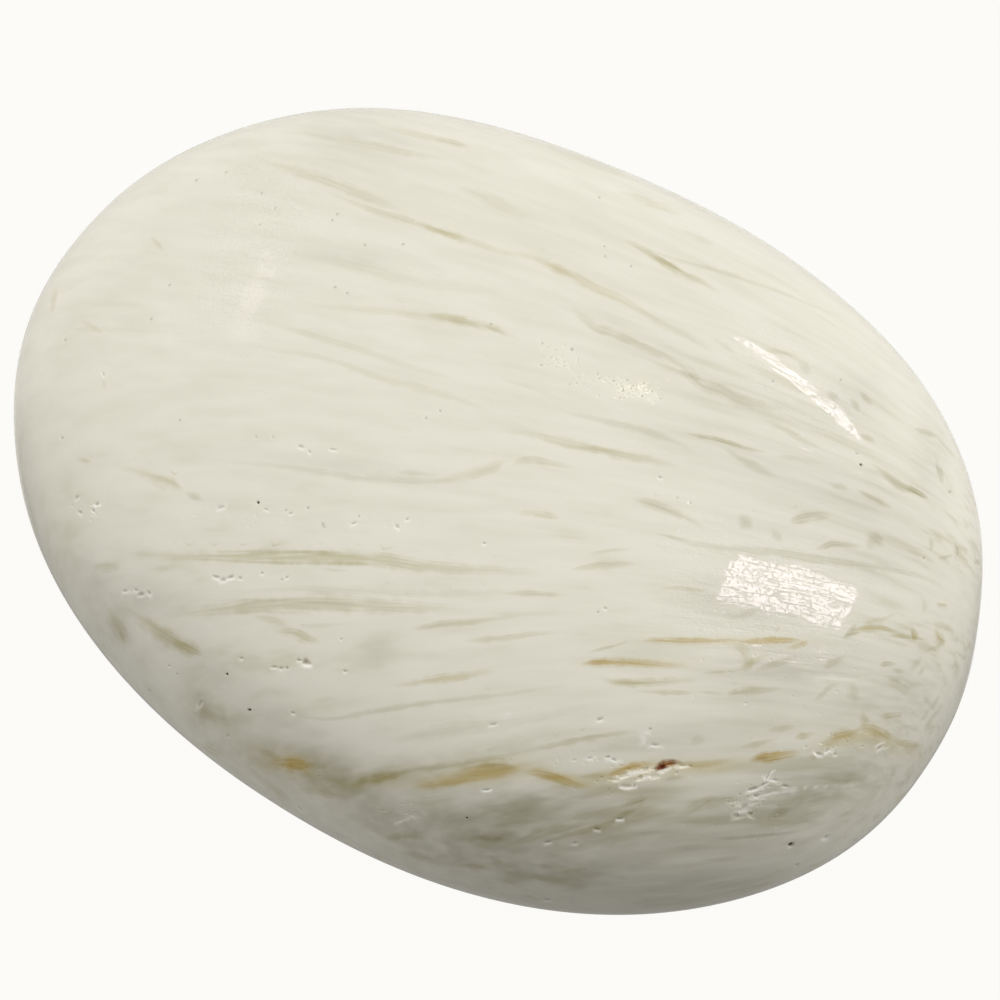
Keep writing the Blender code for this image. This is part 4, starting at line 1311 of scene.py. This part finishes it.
# Lamps round the stone: degrees round from straight ahead of the viewer towards the right, degrees up,
# metres away, width and height in metres, the frame's turn in degrees, and watts. The soft ones are seen
# in no reflection, and the others are seen in the polish only.
softLamp = {"away": 1.0, "size": (0.6, 0.6), "turn": 0, "shape": "RECTANGLE", "soft": True}
glint = {"away": 0.5, "shape": "RECTANGLE", "soft": False}
thinGlint = glint | {"size": (0.110, 0.016)}
ovalGlint = glint | {"size": (0.156, 0.036), "shape": "ELLIPSE"}
lamps = {
    "skylight": softLamp | {"around": 0, "above": 50, "power": 5.25},
    "overhead": softLamp | {"around": 180, "above": 72, "power": 2.45},
    "rightHigh": softLamp | {"around": 90, "above": 50, "power": 2.4},
    "rightLow": softLamp | {"around": 90, "above": 4, "power": 5.3},
    "left": softLamp | {"around": -90, "above": 25, "power": 3.35},
    "leftLow": softLamp | {"around": -120, "above": 4, "power": 1.05},
    "window": glint | {"around": 72.6, "above": 57.4, "size": (0.212, 0.062), "turn": 61.5, "power": 0.34},
    "strip": ovalGlint | {"around": 36.2, "above": 31.6, "turn": 13.3, "power": 0.112},
    "thinStrip": thinGlint | {"around": -26.0, "above": 41.9, "turn": 48.0, "power": 0.01},
    "farStrip": thinGlint | {"around": -40.4, "above": 37.4, "turn": 56.6, "power": 0.005},
}


def makeStudio():
    scene = bpy.context.scene
    scene.view_settings.view_transform = "Standard"
    world = bpy.data.worlds.new("room")
    world.use_nodes = True
    tree = world.node_tree
    direction = addNode(tree, "ShaderNodeTexCoord").outputs["Generated"]
    height = addNode(tree, "ShaderNodeSeparateXYZ", direction).outputs["Z"]
    ahead = addNode(tree, "ShaderNodeVectorMath", direction, tuple(viewAhead), operation="DOT_PRODUCT")
    ahead = ahead.outputs["Value"]
    low = {"Value": ahead, "To Min": studio["lowInFront"], "To Max": studio["lowBehind"]}
    low["From Min"], low["From Max"] = studio["behindFrom"]
    low = addNode(tree, "ShaderNodeMapRange", low)
    height = addNode(tree, "ShaderNodeMath", ahead, studio["horizonTilt"], height, operation="MULTIPLY_ADD")
    light = {"Value": height, "To Min": low, "To Max": studio["above"]}
    light["From Min"], light["From Max"] = studio["horizon"]
    light = addNode(tree, "ShaderNodeMapRange", light)
    background = tree.nodes["Background"].inputs
    background["Color"].default_value = colour(studio["room"])
    tree.links.new(light.outputs[0], background["Strength"])
    scene.world = world

    paper = bpy.data.materials.new("matt white paper")
    paper.use_nodes = True
    paper.cycles.emission_sampling = "NONE"
    surface = paper.node_tree.nodes["Principled BSDF"].inputs
    surface["Base Color"].default_value = colour(studio["paperBase"])
    surface["Roughness"].default_value = studio["paperRoughness"]
    surface["Specular IOR Level"].default_value = 0.0
    surface["Emission Color"].default_value = colour(studio["paper"])
    surface["Emission Strength"].default_value = studio["glow"]
    bm = bmesh.new()
    bmesh.ops.create_circle(bm, cap_ends=True, segments=studio["floorSides"], radius=studio["floorRadius"])
    rim = [edge for edge in bm.edges if edge.is_boundary]
    steps = studio["bendSteps"]
    for step in range(1, steps + 1):
        a = math.pi / 2 * step / steps
        raised = bmesh.ops.extrude_edge_only(bm, edges=rim)["geom"]
        radius = studio["floorRadius"] + studio["bend"] * math.sin(a)
        height = studio["bend"] * (1 - math.cos(a)) if step < steps else studio["wallTop"]
        for vert in raised:
            if isinstance(vert, bmesh.types.BMVert):
                flat = Vector((vert.co.x, vert.co.y)).normalized() * radius
                vert.co = Vector((flat.x, flat.y, height))
        rim = [edge for edge in raised if isinstance(edge, bmesh.types.BMEdge)]
    mesh = bpy.data.meshes.new("backdrop")
    bm.to_mesh(mesh)
    bm.free()
    mesh.materials.append(paper)
    backdrop = bpy.data.objects.new("backdrop", mesh)
    backdrop.visible_diffuse = False
    backdrop.visible_glossy = False
    scene.collection.objects.link(backdrop)

    for name, lamp in lamps.items():
        light = bpy.data.lights.new(name, "AREA")
        light.shape = lamp["shape"]
        light.size, light.size_y = lamp["size"]
        light.energy = lamp["power"]
        light.color = colour("#FFFFFF" if lamp["soft"] else studio["glass"])[:3]
        around, above = math.radians(lamp["around"]), math.radians(lamp["above"])
        away = (viewRight * math.sin(around) + viewAhead * math.cos(around)) * math.cos(above)
        away += Vector((0, 0, math.sin(above)))
        frameTurn = Quaternion((0, 0, 1), math.radians(lamp["turn"]))
        holder = bpy.data.objects.new(name, light)
        holder.location = aim + away * lamp["away"]
        holder.rotation_mode = "QUATERNION"
        holder.rotation_quaternion = away.to_track_quat("Z", "Y") @ frameTurn
        holder.visible_glossy = not lamp["soft"]
        holder.visible_camera = False
        holder.visible_diffuse = lamp["soft"]
        scene.collection.objects.link(holder)


makeCamera()
makeStudio()
print("camera and studio")

stoneBlank = meshFromTree(formTree(), "stoneBlank", stoneForm)
fitToBox(stoneBlank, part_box("palm_stone"))
blankPoints = [vertex.co.copy() for vertex in stoneBlank.vertices]
surface = BVHTree.FromPolygons(blankPoints, [tuple(face.vertices) for face in stoneBlank.polygons])
print("form", len(stoneBlank.polygons), "squares")

hollows = allHollows(surface, stoneBlank)
refine(stoneBlank, *finePlaces(surface, hollows))
print("refined", len(stoneBlank.polygons), "triangles")

scolecite = polishedScolecite()
print("material", scolecite.name)
cloud = hollowCloud(hollows)
pitting = {
    "Hollows": cloud,
    "Raggedness": pits["raggedness"],
    "Ragged Scale": pits["raggedScale"],
    "Waviness": pits["waviness"],
    "Waviness Scale": pits["wavinessScale"],
    "Material": scolecite,
}
stoneMesh = meshFromTree(pitTree(), "scoleciteStone", pitting, base=stoneBlank)
bpy.data.objects.remove(cloud)
stoneMesh.shade_smooth()
paintStone(stoneMesh)
stone = bpy.data.objects.new("scoleciteStone", stoneMesh)
bpy.context.scene.collection.objects.link(stone)
print("stone", len(stoneMesh.polygons), "triangles")

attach(stone, "root")
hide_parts("palm_stone")
